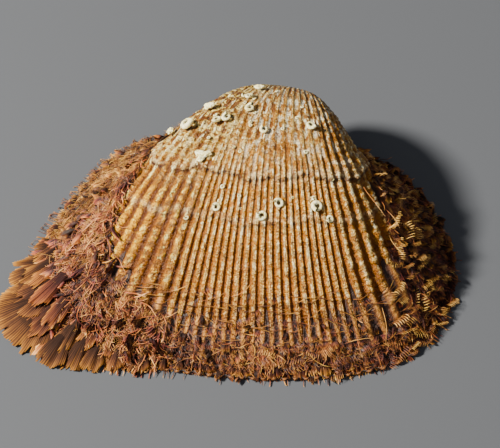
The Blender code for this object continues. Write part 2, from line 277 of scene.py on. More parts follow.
def ledge_heights(age):
    """Height that the growth ledges add: each rises slowly and drops at once."""
    draw = np.random.default_rng(LEDGE_SEED)
    height = np.zeros_like(age)
    fine = [(a, FINE_LEDGE_HEIGHT * h) for a, h in
            zip(draw.uniform(0.25, 0.99, FINE_LEDGES), draw.uniform(0.3, 1.0, FINE_LEDGES))]
    for rows, rise in ((LEDGES, LEDGE_RISE), (fine, FINE_LEDGE_RISE)):
        for ledge_age, size in rows:
            share = 1 - (ledge_age - age) / rise
            height += np.where((share > 0) & (age <= ledge_age), size * share, 0.0)
            past = 1 - (age - ledge_age) / LEDGE_DROP
            height += np.where((age > ledge_age) & (past > 0), size * past, 0.0)
    return height


def add_mesh(name, points, faces, attributes, edges=()):
    """An object from points in mm, with attributes on its points."""
    mesh = bpy.data.meshes.new(name)
    mesh.from_pydata((np.asarray(points) * MM).tolist(), edges, faces)
    for label, values in attributes.items():
        values = np.asarray(values, float)
        kind = "FLOAT_VECTOR" if values.ndim == 2 else "FLOAT"
        layer = mesh.attributes.new(label, kind, "POINT")
        layer.data.foreach_set("vector" if values.ndim == 2 else "value", values.ravel())
    mesh.shade_smooth()
    made = bpy.data.objects.new(name, mesh)
    bpy.context.scene.collection.objects.link(made)
    return made


def tube_faces(rings, count, first=0):
    """Faces of a tube, from rings of points that follow one another."""
    return [(first + k * count + i, first + k * count + (i + 1) % count,
             first + (k + 1) * count + (i + 1) % count, first + (k + 1) * count + i)
            for k in range(rings - 1) for i in range(count)]


def gathered(parts):
    """Points, faces and attributes of several meshes, as those of one."""
    points, faces, data, first = [], [], {}, 0
    for some, sheet, values in parts:
        faces += [tuple(first + i for i in face) for face in sheet]
        points.append(some)
        first += len(some)
        for label, value in values.items():
            data.setdefault(label, []).append(value)
    return np.vstack(points), faces, {label: np.concatenate(v) for label, v in data.items()}


def grid_faces(rows, columns, first=0):
    """Faces of a sheet, from rows of points that follow one another."""
    return [(a, a + 1, a + columns + 1, a + columns) for row in range(rows - 1)
            for a in range(first + row * columns, first + (row + 1) * columns - 1)]


class Net:
    """Short calls for the nodes of a tree, of shapes or of a finish."""

    def __init__(self, group):
        self.group, self.nodes, self.links = group, group.nodes, group.links

    def join(self, socket, value):
        if isinstance(value, bpy.types.NodeSocket):
            self.links.new(value, socket)
        else:
            socket.default_value = value

    def node(self, kind, links=None, **settings):
        made = self.nodes.new(kind)
        for key, value in settings.items():
            setattr(made, key, value)
        for socket, value in (links or {}).items():
            self.join(made.inputs[socket], value)
        return made

    def math(self, operation, *values, clamp=False):
        return self.node("ShaderNodeMath", dict(enumerate(values)), operation=operation,
                         use_clamp=clamp).outputs[0]

    def times(self, first, second):
        return self.math("MULTIPLY", first, second)

    def times_plus(self, first, second, third):
        return self.math("MULTIPLY_ADD", first, second, third)

    def minus(self, first, second):
        return self.math("SUBTRACT", first, second)

    def rest(self, share):
        """What is left of 1."""
        return self.math("SUBTRACT", 1.0, share)

    def ramp(self, value, low, high):
        """0 below low, 1 above high and smooth between."""
        return self.node("ShaderNodeMapRange", {"Value": value, "From Min": low, "From Max": high},
                         interpolation_type="SMOOTHSTEP").outputs["Result"]

    def noise_at(self, where, scale, detail, roughness=0.5, distortion=0.0):
        """Noise from 0 to 1 over a vector, its scale in bumps per unit."""
        return self.node("ShaderNodeTexNoise", {"Vector": where, "Scale": scale, "Detail": detail,
                         "Roughness": roughness, "Distortion": distortion}).outputs["Fac"]


class Tree(Net):
    """A Geometry Nodes tree with named inputs."""

    SOCKETS = {float: "NodeSocketFloat", int: "NodeSocketInt",
               bpy.types.Object: "NodeSocketObject", bpy.types.Material: "NodeSocketMaterial"}

    def __init__(self, name, inputs):
        super().__init__(bpy.data.node_groups.new(name, "GeometryNodeTree"))
        face = self.group.interface
        face.new_socket("Geometry", in_out="INPUT", socket_type="NodeSocketGeometry")
        self.values = {}
        for label, value in inputs.items():
            socket = face.new_socket(label, in_out="INPUT", socket_type=self.SOCKETS[type(value)])
            self.values[socket.identifier] = value
        face.new_socket("Geometry", in_out="OUTPUT", socket_type="NodeSocketGeometry")
        self.start = self.nodes.new("NodeGroupInput")
        self.end = self.nodes.new("NodeGroupOutput")

    def input(self, label="Geometry"):
        return self.start.outputs[label]

    def read(self, label, kind="FLOAT"):
        return self.node("GeometryNodeInputNamedAttribute", {"Name": label},
                         data_type=kind).outputs["Attribute"]

    def position(self):
        return self.node("GeometryNodeInputPosition").outputs["Position"]

    def vector(self, operation, first, second):
        """Vector maths; the second value is a number where the first is scaled."""
        other = "Scale" if operation == "SCALE" else 1
        return self.node("ShaderNodeVectorMath", {0: first, other: second},
                         operation=operation).outputs["Vector"]

    def shape(self, kind, geometry, **links):
        """What a geometry node makes of a geometry."""
        return self.node("GeometryNode" + kind, {"Geometry": geometry, **links}).outputs["Geometry"]

    def boxed(self, geometry):
        """The geometry with its points kept inside the solid's box."""
        low = tuple(c + BOX_CLEAR * MM for c in cad_box[0])
        high = tuple(c - BOX_CLEAR * MM for c in cad_box[1])
        place = self.vector("MINIMUM", self.vector("MAXIMUM", self.position(), low), high)
        return self.shape("SetPosition", geometry, Position=place)

    def finish(self, geometry):
        self.join(self.end.inputs["Geometry"], geometry)
        return self

    def made_plain(self, carrier, name):
        """Runs the tree on an object and returns the result as a plain mesh object."""
        modifier = carrier.modifiers.new(name, "NODES")
        modifier.node_group = self.group
        for identifier, value in self.values.items():
            modifier[identifier] = value
        graph = bpy.context.evaluated_depsgraph_get()
        mesh = bpy.data.meshes.new_from_object(carrier.evaluated_get(graph),
                                               preserve_all_data_layers=True, depsgraph=graph)
        mesh.name = name
        old = carrier.data
        bpy.data.objects.remove(carrier, do_unlink=True)
        bpy.data.meshes.remove(old)
        made = bpy.data.objects.new(name, mesh)
        bpy.context.scene.collection.objects.link(made)
        return made


rib_fine, rib_count = rib_counts()
RIBS = int(round(rib_count[-1]))
places = np.interp(np.linspace(0, RIBS, RIBS * RIB_STEPS + 1), rib_count, rib_fine)
hinge_share = np.linspace(0, 1, HINGE_STEPS + 1)[:, None]
hinge_line = np.array(EDGE[-1]) * (1 - hinge_share) + np.array(EDGE[0]) * hinge_share
around_plan = np.vstack([edge_point(places), hinge_line[1:-1]])
AROUND = len(around_plan)
FREE = len(places)

# The bare surface in coarse rings, to measure the height over a plan point
coarse_ring = around_plan[::COARSE_COLUMNS]
coarse_points = np.vstack([grown(coarse_ring, age)
                           for age in np.linspace(1.0, TIP_AGE, COARSE_ROWS)])
bare_tree = BVHTree.FromPolygons([Vector(p) for p in coarse_points],
                                 tube_faces(COARSE_ROWS, len(coarse_ring)))


def height_over(plan):
    """Height of the bare valve over a plan point, and 0 beyond its edge."""
    hit = bare_tree.ray_cast(Vector((plan[0], plan[1], -1.0)), Vector((0, 0, 1)))[0]
    return hit.z if hit else 0.0


def build_bare_valve():
    """The valve without ribs, with the attributes that the ribs and the finish follow."""
    ages = np.linspace(1.0, TIP_AGE, GROWTH_STEPS)
    free_rib = np.interp(places, rib_fine, rib_count)
    hinge_places = np.linspace(1, 0, HINGE_STEPS + 1)[1:-1]
    place = np.concatenate([places, hinge_places])
    rib = np.concatenate([free_rib, np.zeros(AROUND - FREE)])
    fade = np.clip(np.minimum(places, 1 - places) / RELIEF_FADE, 0, 1)
    relief = np.concatenate([fade, np.zeros(AROUND - FREE)])
    pitch = read_off(RIB_SPACING, place) * EDGE_LENGTH

    points = np.vstack([grown(around_plan, age) for age in ages])
    count = len(ages)
    ring_age = strayed(np.tile(place, count), np.repeat(ages, AROUND))
    data = {"place": np.tile(place, count), "rib": np.tile(rib, count),
            "relief": np.tile(relief, count), "age": np.repeat(ages, AROUND),
            "pitch": np.tile(pitch, count) * np.repeat(ages, AROUND),
            "ledge": ledge_heights(ring_age) * np.tile(relief, count),
            "inside": np.zeros(len(points)),
            "line": sum(size * np.exp(-((ring_age - at) / DARK_LINE_WIDTH) ** 2)
                        for at, size in DARK_LINES),
            "lip": sum(size / LEDGES[0][1]
                       * np.exp(-((ring_age - at + LEDGE_DROP) / LIP_WIDTH) ** 2)
                       for at, size in LEDGES)}
    faces = tube_faces(count, AROUND)
    last = (count - 1) * AROUND
    tip = len(points)
    points = np.vstack([points, points[last:].mean(axis=0)])
    for label in data:
        data[label] = np.append(data[label], data[label][-1])
    faces += [(last + i, last + (i + 1) % AROUND, tip) for i in range(AROUND)]

    # The hollow: rings from the mouth to the middle, one step for each rib and hinge step
    free_mouth = edge_point(places[::RIB_STEPS])
    free_mouth = free_mouth - edge_outwards(places[::RIB_STEPS]) * RIM
    mouth = np.vstack([free_mouth, hinge_line[1:-1]])
    mouth[:, 1] = np.minimum(mouth[:, 1], -HINGE_PLATE)
    middle = np.array(HOLLOW_MIDDLE)
    mouth_heights = np.array([height_over(plan) for plan in mouth])
    rings = 1 - np.linspace(0, 1, HOLLOW_RINGS) ** HOLLOW_BUNCHING * HOLLOW_REACH
    start, ring = len(points), len(mouth)
    inner = []
    for share in rings:
        plan = middle + (mouth - middle) * share
        blend = min(1.0, (1 - share) / WALL_BLEND)
        blend = blend * blend * (3 - 2 * blend)
        thick = mouth_heights * (1 - blend) + WALL * blend
        z = np.array([height_over(p) for p in plan]) - thick
        inner.append(np.column_stack([plan, np.zeros(ring) if share == 1.0 else z]))
    inner.append(inner[-1].mean(axis=0, keepdims=True))
    faces += tube_faces(HOLLOW_RINGS, ring, start)
    last = start + (HOLLOW_RINGS - 1) * ring
    faces += [(last + i, last + (i + 1) % ring, last + ring) for i in range(ring)]

    # The flat rim joins each rib's columns to one step of the hollow.
    for i in range(RIBS):
        wide = [i * RIB_STEPS + j for j in range(RIB_STEPS + 1)]
        faces.append(tuple(wide) + (start + i + 1, start + i))

    # The hinge plate: a fine grid, sunk where the sockets between the teeth are
    columns = HINGE_STEPS * PLATE_COLUMNS + 1
    along = np.linspace(0, 1, columns)
    left = np.vstack([free_mouth[-1:], free_mouth[:1]])
    left[:, 1] = -HINGE_PLATE
    front = np.array([EDGE[-1], left[0]])
    back = np.array([EDGE[0], left[1]])
    plate = []
    for row in np.linspace(PLATE_MARGIN, 1 - PLATE_MARGIN, PLATE_ROWS):
        a = front[0] * (1 - row) + front[1] * row
        b = back[0] * (1 - row) + back[1] * row
        plan = a * (1 - along[:, None]) + b * along[:, None]
        side = (plan[:, 0] - (TEETH_FROM + TEETH_TO) / 2) / ((TEETH_TO - TEETH_FROM) / 2)
        lean = plan[:, 0] + TOOTH_SLANT * side * (plan[:, 1] + HINGE_PLATE / 2)
        tooth = (lean - TEETH_FROM) / (TEETH_TO - TEETH_FROM) * (TEETH - 1)
        comb = np.clip(0.5 + 0.9 * np.cos(2 * math.pi * tooth), 0, 1)
        window = np.clip((1.25 - np.abs(side) * 1.1) * 8, 0, 1)
        edge_fade = np.clip(min(row - 0.12, 0.88 - row) / 0.14, 0, 1)
        plate.append(np.column_stack([plan, SOCKET_DEPTH * comb * window * edge_fade]))
    first = start + sum(len(row) for row in inner)
    faces += grid_faces(PLATE_ROWS, columns, first)
    hinge_ids = [FREE - 1] + list(range(FREE, AROUND)) + [0]
    mouth_ids = [start + RIBS] + list(range(start + RIBS + 1, start + ring)) + [start]
    bottom = first + (PLATE_ROWS - 1) * columns
    for i in range(HINGE_STEPS):
        fine = [i * PLATE_COLUMNS + j for j in range(PLATE_COLUMNS + 1)]
        faces.append((hinge_ids[i], hinge_ids[i + 1]) + tuple(first + j for j in reversed(fine)))
        faces.append(tuple(bottom + j for j in fine) + (mouth_ids[i + 1], mouth_ids[i]))
    faces.append(tuple(first + k * columns for k in range(PLATE_ROWS))
                 + (mouth_ids[0], hinge_ids[0]))
    faces.append((hinge_ids[-1], mouth_ids[-1])
                 + tuple(first + k * columns + columns - 1 for k in reversed(range(PLATE_ROWS))))

    extra = np.vstack(inner + plate)
    points = np.vstack([points, extra])
    for label in data:
        data[label] = np.append(data[label], np.full(len(extra), 1.0 if label == "inside" else 0.0))
    return points, faces, data


bare, valve_faces, valve_data = build_bare_valve()

# The frame gives where the valve lies: its box in plan has the same middle as the solid's.
cad_low, cad_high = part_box("valve")
rim_ribs = rib_height(places, 1.0) * (np.arange(FREE) % RIB_STEPS == RIB_STEPS // 2)
rim_plan = edge_point(places) + edge_outwards(places) * rim_ribs[:, None]
MIDDLE_X = (rim_plan[:, 0].min() + rim_plan[:, 0].max()) / 2 - (cad_low[0] + cad_high[0]) / 2 / MM
MIDDLE_Y = bare[:, 1].max() + RIB_ROOM - cad_high[1] / MM
SHIFT = np.array([MIDDLE_X, MIDDLE_Y, 0.0])
valve_carrier = add_mesh("bare_valve", bare - SHIFT, valve_faces, valve_data)


def srgb(red, green, blue):
    """A colour as it looks on a screen, 0 to 255, as linear light."""
    return tuple(((c / 255) ** 2.2) for c in (red, green, blue)) + (1.0,)


class ShaderNet(Net):
    """Short calls for what finishes need besides."""

    def read(self, label):
        return self.node("ShaderNodeAttribute", attribute_name=label).outputs["Fac"]

    def place(self, stretch=(1, 1, 1)):
        """Object coordinates in mm, stretched."""
        where = self.node("ShaderNodeTexCoord").outputs["Object"]
        size = tuple(s / MM for s in stretch)
        return self.node("ShaderNodeMapping", {"Vector": where, "Scale": size}).outputs["Vector"]

    def noise(self, scale, detail=3.0, roughness=0.55, distortion=0.0, where=None):
        """Noise from 0 to 1, its scale in bumps per mm where no vector is given."""
        return self.noise_at(where or self.place(), scale, detail, roughness, distortion)

    def chart(self, *parts):
        """A vector of up to three values, each times its own scale."""
        scaled = {axis: self.times(value, scale) for axis, (value, scale) in zip("XYZ", parts)}
        return self.node("ShaderNodeCombineXYZ", scaled).outputs[0]

    def colours(self, value, *stops):
        """A colour ramp through stops of a place and a colour."""
        made = self.node("ShaderNodeValToRGB", {"Fac": value})
        stack = made.color_ramp.elements
        while len(stack) < len(stops):
            stack.new(0.5)
        for element, (where, *colour) in zip(stack, stops):
            element.position = where
            element.color = srgb(*colour)
        return made.outputs["Color"]

    def mix(self, share, first, second):
        made = self.node("ShaderNodeMix", data_type="RGBA", blend_type="MIX")
        self.join(made.inputs["Factor"], share)
        self.join(made.inputs[6], first)
        self.join(made.inputs[7], second)
        return made.outputs[2]

    def tinted(self, under, share, strength, *colour):
        """A colour with another over it, by a share times a strength."""
        return self.mix(self.times(share, strength), under, srgb(*colour))

    def bump(self, height, distance, strength=1.0):
        return self.node("ShaderNodeBump", {"Height": height, "Distance": distance * MM,
                                            "Strength": strength}).outputs["Normal"]


class Effect(ShaderNet):
    """A shader node group with named inputs and outputs, for any number of materials."""

    def __init__(self, name, inputs, outputs):
        super().__init__(bpy.data.node_groups.new(name, "ShaderNodeTree"))
        face = self.group.interface
        for label, value in inputs.items():
            socket = face.new_socket(label, in_out="INPUT", socket_type="NodeSocketFloat")
            socket.default_value = value
        for label, kind in outputs.items():
            face.new_socket(label, in_out="OUTPUT", socket_type=kind)
        self.start = self.nodes.new("NodeGroupInput")
        self.end = self.nodes.new("NodeGroupOutput")

    def input(self, label):
        return self.start.outputs[label]

    def give(self, label, value):
        self.join(self.end.inputs[label], value)


class Finish(ShaderNet):
    """A material with a Principled shader."""

    def __init__(self, name, roughness):
        self.made = bpy.data.materials.new(name)
        self.made.use_nodes = True
        super().__init__(self.made.node_tree)
        self.shader = self.nodes["Principled BSDF"]
        self.shader.inputs["Roughness"].default_value = roughness

    def effect(self, effect, **values):
        """The group of an effect, placed in this material."""
        made = self.nodes.new("ShaderNodeGroup")
        made.node_tree = effect.group
        for label, value in values.items():
            self.join(made.inputs[label], value)
        return made

    def put(self, **sockets):
        for label, value in sockets.items():
            self.join(self.shader.inputs[label.replace("_", " ")], value)
        return self.made


def shell_outside():
    """Old lime: cream ribs over orange-brown grooves, chalky and stained at the beak."""
    f = Finish("shell_outside", 0.55)
    age, rib, where, line = f.read("age"), f.read("rib"), f.read("place"), f.read("line")
    crest, lip, relief = f.read("crest"), f.read("lip"), f.read("relief")
    streak = f.noise(1.0, detail=5.0, roughness=0.65, where=f.chart((rib, 3.0), (age, 16.0)))
    blotch = f.noise(0.35, detail=4.0, roughness=0.6)
    speck = f.noise(3.4, detail=4.0, roughness=0.7)
    bead, wear = f.read("bead"), f.read("wear")
    # The worn part by the beak, and the back slope
    young = f.rest(f.ramp(age, 0.40, 0.60))
    left = f.rest(f.ramp(where, 0.38, 0.50))

    crest_colour = f.colours(age, (0.15, 232, 208, 150), (0.42, 246, 222, 158),
                             (0.60, 252, 224, 148), (0.78, 248, 204, 112), (0.90, 208, 134, 52),
                             (1.0, 100, 50, 20))
    flank_colour = f.colours(age, (0.15, 164, 118, 16), (0.42, 184, 124, 2), (0.60, 188, 122, 0),
                             (0.78, 178, 108, 0), (0.90, 126, 68, 4), (1.0, 60, 28, 8))
    groove_colour = f.colours(age, (0.15, 126, 80, 4), (0.42, 152, 94, 0), (0.60, 152, 88, 0),
                              (0.78, 138, 76, 0), (0.90, 80, 40, 3), (1.0, 34, 16, 8))
    edge = f.times_plus(f.minus(streak, 0.5), 1.5, crest)
    # The notches between beads are darkened: partly stain, partly painted shade.
    edge = f.times_plus(bead, -0.25, edge)
    # On the right of the beak only the thin top of each cord is golden.
    edge = f.times_plus(f.times(young, f.ramp(where, 0.46, 0.54)), -0.28, edge)
    edge = f.times_plus(f.times(left, f.ramp(age, 0.52, 0.58)), 0.06, edge)
    # Short bars across the ribs, where the edge stood for a while
    bars = f.noise(1.0, detail=3.0, roughness=0.6, where=f.chart((rib, 1.6), (age, 95.0)))
    edge = f.times_plus(f.minus(bars, 0.5), 1.7, edge)
    # Fine steps of growth cut the cords into small beads; the cuts are darkened, partly stain and
    # partly painted shade.
    step = f.math("SINE", f.times_plus(blotch, 60.0, f.times(age, FINE_STEPS)))
    cut = f.ramp(f.times_plus(f.minus(speck, 0.5), 2.6, step), -0.1, 1.1)
    edge = f.times_plus(cut, -0.34, edge)
    colour = f.mix(f.ramp(edge, 0.00, 0.34), groove_colour, flank_colour)
    colour = f.mix(f.ramp(edge, 0.50, 0.92), colour, crest_colour)
    # The grooves near the beak are bleached grey between thin golden cords.
    bleach = f.times(young, f.ramp(where, 0.42, 0.52))
    panel = f.noise(1.0, detail=2.0, roughness=0.5, where=f.chart((rib, 0.9), (age, 26.0)))
    panel = f.times_plus(panel, 0.7, f.times(bars, 0.3))
    grey = f.colours(panel, (0.42, 104, 52, 0), (0.47, 170, 104, 14), (0.50, 208, 176, 100),
                     (0.55, 252, 246, 216))
    pale = f.times(bleach, f.rest(f.ramp(crest, 0.50, 0.85)))
    colour = f.mix(f.times(pale, 0.9), colour, grey)
    # The back ribs are amber, with pale beads; the notches between them are darker, partly stain
    # and partly painted shade.
    amber = f.times(left, f.ramp(age, 0.52, 0.60))
    warm = f.colours(f.times_plus(bead, -0.5, f.math("ADD", streak, 0.2)), (0.32, 84, 44, 0),
                     (0.50, 156, 90, 0), (0.66, 218, 148, 0), (0.80, 255, 214, 60))
    colour = f.mix(f.times(amber, f.times(f.ramp(edge, 0.2, 0.6), 0.9)), colour, warm)
    gap = f.times(f.rest(f.ramp(crest, 0.10, 0.52)), f.ramp(age, 0.45, 0.6))
    colour = f.tinted(colour, f.times(gap, left), 0.88, 76, 34, 0)
    # Rust-coloured stains in patches; between the beads the same darkening is partly stain and
    # partly painted shade in the notches
    stain = f.times(f.ramp(blotch, 0.46, 0.60), f.rest(f.ramp(age, 0.6, 0.9)))
    stain = f.times(stain, f.ramp(speck, 0.40, 0.60))
    stain = f.math("MAXIMUM", stain, f.times(f.ramp(bead, 0.45, 1.0), 0.45))
    colour = f.tinted(colour, stain, 0.80, 138, 82, 0)
    # Chalky wear on the ribs and in patches over the beak
    chalk = f.times(f.ramp(streak, 0.50, 0.66), f.ramp(crest, 0.35, 0.8))
    chalk = f.times(chalk, f.rest(f.ramp(age, 0.62, 0.90)))
    chalk = f.times(chalk, f.times_plus(amber, -0.75, 1.0))
    mottle = f.noise(1.0, detail=4.0, roughness=0.6)
    worn = f.times(left, young)
    plates = f.colours(f.times_plus(f.minus(speck, 0.5), 0.35, mottle), (0.40, 40, 20, 2),
                       (0.465, 104, 58, 2), (0.505, 202, 148, 26), (0.535, 248, 222, 104),
                       (0.61, 255, 252, 204))
    colour = f.mix(f.times(worn, 0.90), colour, plates)
    patch = f.times(worn, f.ramp(mottle, 0.50, 0.56))
    chalk = f.math("MAXIMUM", chalk, f.times(f.math("MAXIMUM", patch, wear), 0.75))
    chalk = f.times(chalk, f.times_plus(f.ramp(mottle, 0.44, 0.54), 0.9, 0.1))
    colour = f.tinted(colour, chalk, 0.80, 246, 218, 124)
    # A rust-brown network over the worn part, thin veins round pale cells
    net = f.noise(0.75, detail=2.0, roughness=0.6, distortion=1.4)
    vein = f.rest(f.ramp(f.math("ABSOLUTE", f.minus(net, 0.5)), 0.018, 0.075))
    rust = f.times(f.math("MAXIMUM", vein, f.rest(f.ramp(mottle, 0.38, 0.46))),
                   f.times(young, f.times_plus(left, 0.70, 0.30)))
    colour = f.tinted(colour, rust, 0.95, 112, 62, 0)
    # The middle line of each rib is split and stained below the main ledge.
    middle = f.times(f.ramp(crest, 0.90, 1.0), f.ramp(age, 0.52, 0.60))
    middle = f.times(middle, f.times(f.ramp(where, 0.40, 0.44), f.rest(f.ramp(where, 0.65, 0.70))))
    colour = f.mix(f.times(middle, f.ramp(streak, 0.35, 0.6)), colour, srgb(150, 74, 12))
    # A bright ochre patch on the back ribs
    far = f.math("ADD", f.math("POWER", f.math("DIVIDE", f.minus(where, 0.325), 0.036), 2.0),
                 f.math("POWER", f.math("DIVIDE", f.minus(age, 0.68), 0.085), 2.0))
    ochre = f.times(f.rest(f.ramp(far, 0.2, 1.6)), f.ramp(edge, 0.2, 0.8))
    colour = f.tinted(colour, ochre, 0.80, 242, 172, 8)
    # The ledges' pale lips, dark growth lines and pin holes, whose dark insides are painted shade
    lip = f.times(lip, f.times(f.ramp(mottle, 0.42, 0.56), f.rest(f.ramp(age, 0.70, 0.78))))
    colour = f.tinted(colour, lip, 0.65, 240, 214, 162)
    broken = f.times(line, f.ramp(blotch, 0.22, 0.50))
    broken = f.times(broken, f.times_plus(f.ramp(streak, 0.36, 0.52), 0.7, 0.3))
    colour = f.mix(f.math("MULTIPLY", broken, 1.2, clamp=True), colour, srgb(62, 28, 4))
    holes = f.node("ShaderNodeTexVoronoi", {"Vector": f.place(), "Scale": 1.5, "Randomness": 1.0})
    hole = f.rest(f.ramp(holes.outputs["Distance"], 0.14, 0.30))
    hole = f.times(hole, f.times(young, f.times_plus(left, 0.5, 0.5)))
    # Pin holes: painted shade, near black, inside each hole.
    colour = f.tinted(colour, hole, 0.95, 52, 24, 6)
    # Fine dirt all over
    dirt = f.noise(4.5, detail=4.0, roughness=0.75)
    colour = f.tinted(colour, f.ramp(dirt, 0.50, 0.60), 0.66, 92, 48, 4)
    spots = f.noise(1.7, detail=2.0, roughness=0.5, where=f.place((1.0, 0.7, 1.0)))
    colour = f.tinted(colour, f.ramp(spots, 0.60, 0.68), 0.70, 78, 40, 3)
    # Painted highlights: bright glints painted on the bead tops along the ribs, golden at the back
    shine = f.noise(1.0, detail=4.0, roughness=0.65, where=f.chart((rib, 1.9), (age, 44.0)))
    painted_glints = f.times(f.ramp(shine, 0.54, 0.62),
                     f.times(f.times(f.ramp(edge, 0.2, 0.6), f.ramp(crest, 0.4, 0.8)),
                             f.times_plus(f.ramp(age, 0.60, 0.90), -0.8, 1.0)))
    beaded = f.mix(amber, srgb(255, 246, 200), srgb(255, 238, 136))
    colour = f.mix(f.times(painted_glints, 0.88), colour, beaded)

    # The flat ligament area behind the beak: dark, with chevron grooves
    slope = f.math("ABSOLUTE", f.minus(where, 0.5))
    chevron = f.math("SINE", f.times_plus(slope, 150.0, f.times(age, 120.0)))
    flat = f.rest(f.ramp(relief, 0.0, 0.4))
    horny = f.colours(f.times_plus(chevron, 0.3, f.times(speck, 0.9)), (0.2, 44, 26, 12),
                      (0.6, 104, 70, 34), (0.9, 168, 134, 84))
    colour = f.mix(flat, colour, horny)

    grain = f.times_plus(hole, -1.0, f.times_plus(streak, 1.2, speck))
    grain = f.times_plus(f.times(flat, chevron), 0.4, grain)
    grain = f.times_plus(dirt, -0.8, f.times_plus(bars, 1.4, grain))
    grain = f.times_plus(cut, -0.5, f.times_plus(vein, -0.5, grain))
    rough = f.node("ShaderNodeMapRange", {"Value": speck, "To Min": 0.22, "To Max": 0.56})
    return f.put(Base_Color=colour, Roughness=rough.outputs["Result"], Specular_IOR_Level=0.36,
                 Normal=f.bump(grain, 0.18, 0.9))


def shell_inside():
    """Porcelain-white lime with two dull, slightly sunk muscle scars."""
    f = Finish("shell_inside", 0.28)
    cloud = f.noise(0.25, detail=3.0)
    colour = f.colours(cloud, (0.3, 222, 210, 188), (0.55, 234, 228, 214), (0.8, 226, 214, 202))
    fine = f.noise(2.5, detail=4.0)
    scars = None
    for x, y, wide, deep in SCARS:
        off = (-(x - SHIFT[0]) / wide, -(y - SHIFT[1]) / deep, 0)
        spot = f.node("ShaderNodeMapping", {"Vector": f.place(), "Location": off,
                                            "Scale": (1 / wide, 1 / deep, 0)}).outputs["Vector"]
        reach = f.node("ShaderNodeVectorMath", {0: spot}, operation="LENGTH").outputs["Value"]
        scar = f.rest(f.ramp(reach, 0.85, 1.05))
        scars = scar if scars is None else f.math("MAXIMUM", scars, scar)
    colour = f.tinted(colour, scars, 0.55, 196, 178, 150)
    stain = f.times(f.ramp(fine, 0.55, 0.75), 0.35)
    colour = f.mix(stain, colour, srgb(190, 158, 112))
    rough = f.times_plus(scars, 0.25, 0.28)
    height = f.times_plus(scars, -1.0, f.times(fine, 0.3))
    return f.put(Base_Color=colour, Roughness=rough, Normal=f.bump(height, 0.08, 0.6))


def rib_tree(outside, inside):
    """Raises ribs, beads, riblets, ledges and worn patches on the bare valve."""
    tree = Tree("valve_ribs", {"Steepness": RIB_STEEPNESS, "Depth": 0.08, "Bead": 0.42,
                               "Beads": 46.0, "Split": 0.36, "Riblet": 0.20, "Wear": 0.7,
                               "Pits": 0.10, "Grain": 0.05, "Outside": outside, "Inside": inside})
    maths, times, times_plus = tree.math, tree.times, tree.times_plus
    minus, rest, ramp = tree.minus, tree.rest, tree.ramp
    rib, age, pitch = tree.read("rib"), tree.read("age"), tree.read("pitch")
    place, relief = tree.read("place"), tree.read("relief")
    where = tree.vector("SCALE", tree.position(), 1 / MM)
    blotch, fine = tree.noise_at(where, 0.45, 3.0), tree.noise_at(where, 2.6, 3.0)
    young = rest(ramp(age, 0.42, 0.56))
    left = rest(ramp(place, 0.40, 0.48))
    right = ramp(place, 0.44, 0.50)
    centre = times(ramp(place, 0.41, 0.44), rest(ramp(place, 0.65, 0.69)))

    wave = maths("COSINE", times(rib, 2 * math.pi))
    single = times_plus(wave, -0.5, 0.5)
    # Near the beak two ribs of the middle are still one cord: they part as the valve grows.
    twice = times_plus(maths("COSINE", times(rib, math.pi)), -0.5, 0.5)
    parted = ramp(times_plus(blotch, 0.10, age), 0.46, 0.62)
    joined = times(centre, rest(parted))
    crest = times_plus(joined, minus(twice, single), single)
    narrow = times_plus(times(young, right), 1.0, 0.80)
    narrow = times_plus(left, -0.38, narrow)
    shape = maths("POWER", crest, narrow)
    split = times(ramp(crest, 0.86, 1.0), times(centre, ramp(age, 0.5, 0.62)))
    shape = minus(shape, times(split, tree.input("Split")))
    groove = rest(ramp(crest, 0.0, 0.14))
    shape = times_plus(times(groove, rest(centre)), tree.input("Riblet"), shape)
    beat = times_plus(age, tree.input("Beads"), times(blotch, 3.0))
    bead = times_plus(maths("COSINE", times(beat, 2 * math.pi)), -0.5, 0.5)
    beaded = times_plus(centre, -0.65, 1.0)
    notch = times(times(bead, beaded), tree.input("Bead"))
    shape = times(shape, rest(notch))
    worn = times(times(young, times_plus(left, 0.75, 0.25)), ramp(blotch, 0.38, 0.60))
    shape = times(shape, rest(times(worn, tree.input("Wear"))))

    deep = times(rest(ramp(crest, 0.0, 0.6)), tree.input("Depth"))
    deep = times(deep, times_plus(worn, -0.5, 1.0))
    height = minus(times(shape, tree.input("Steepness")), deep)
    height = times(height, pitch)
    lift = maths("ADD", times(height, relief), tree.read("ledge"))
    lift = minus(lift, times(times(worn, ramp(fine, 0.5, 0.7)), tree.input("Pits")))
    lift = times_plus(minus(fine, 0.55), tree.input("Grain"), lift)
    outer = rest(tree.read("inside"))
    kept = tree.input()
    # The bead mask, 1 in the notches between beads, goes to the finish, which darkens the notches:
    # partly stain, partly painted shade.
    for label, value in (("bead", times(bead, beaded)), ("wear", worn), ("crest", crest)):
        kept = tree.shape("StoreNamedAttribute", kept, Name=label, Value=value)
    metres = times(times(lift, outer), MM)
    normal = tree.node("GeometryNodeInputNormal").outputs["Normal"]
    moved = tree.shape("SetPosition", kept, Offset=tree.vector("SCALE", normal, metres))
    # No point goes under the table.
    above = tree.vector("MAXIMUM", tree.position(), (-1, -1, 0))
    settled = tree.shape("SetPosition", moved, Position=above)
    dressed = tree.shape("SetMaterial", settled, Material=tree.input("Outside"))
    real = tree.shape("RealizeInstances", dressed)
    is_inside = maths("GREATER_THAN", tree.read("inside"), 0.5)
    return tree.finish(tree.shape("SetMaterial", real, Selection=is_inside,
                                  Material=tree.input("Inside")))


valve = rib_tree(shell_outside(), shell_inside()).made_plain(valve_carrier, "ark_valve")
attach(valve, "root")
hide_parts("valve")

# Skin
# The periostracum: a thin horny skin that once covered the whole outside and is worn off the
# middle. It follows the ribs underneath, climbs higher in the grooves and hems the free edge.
SKIN_FROM, SKIN_TO = 0.012, 0.985
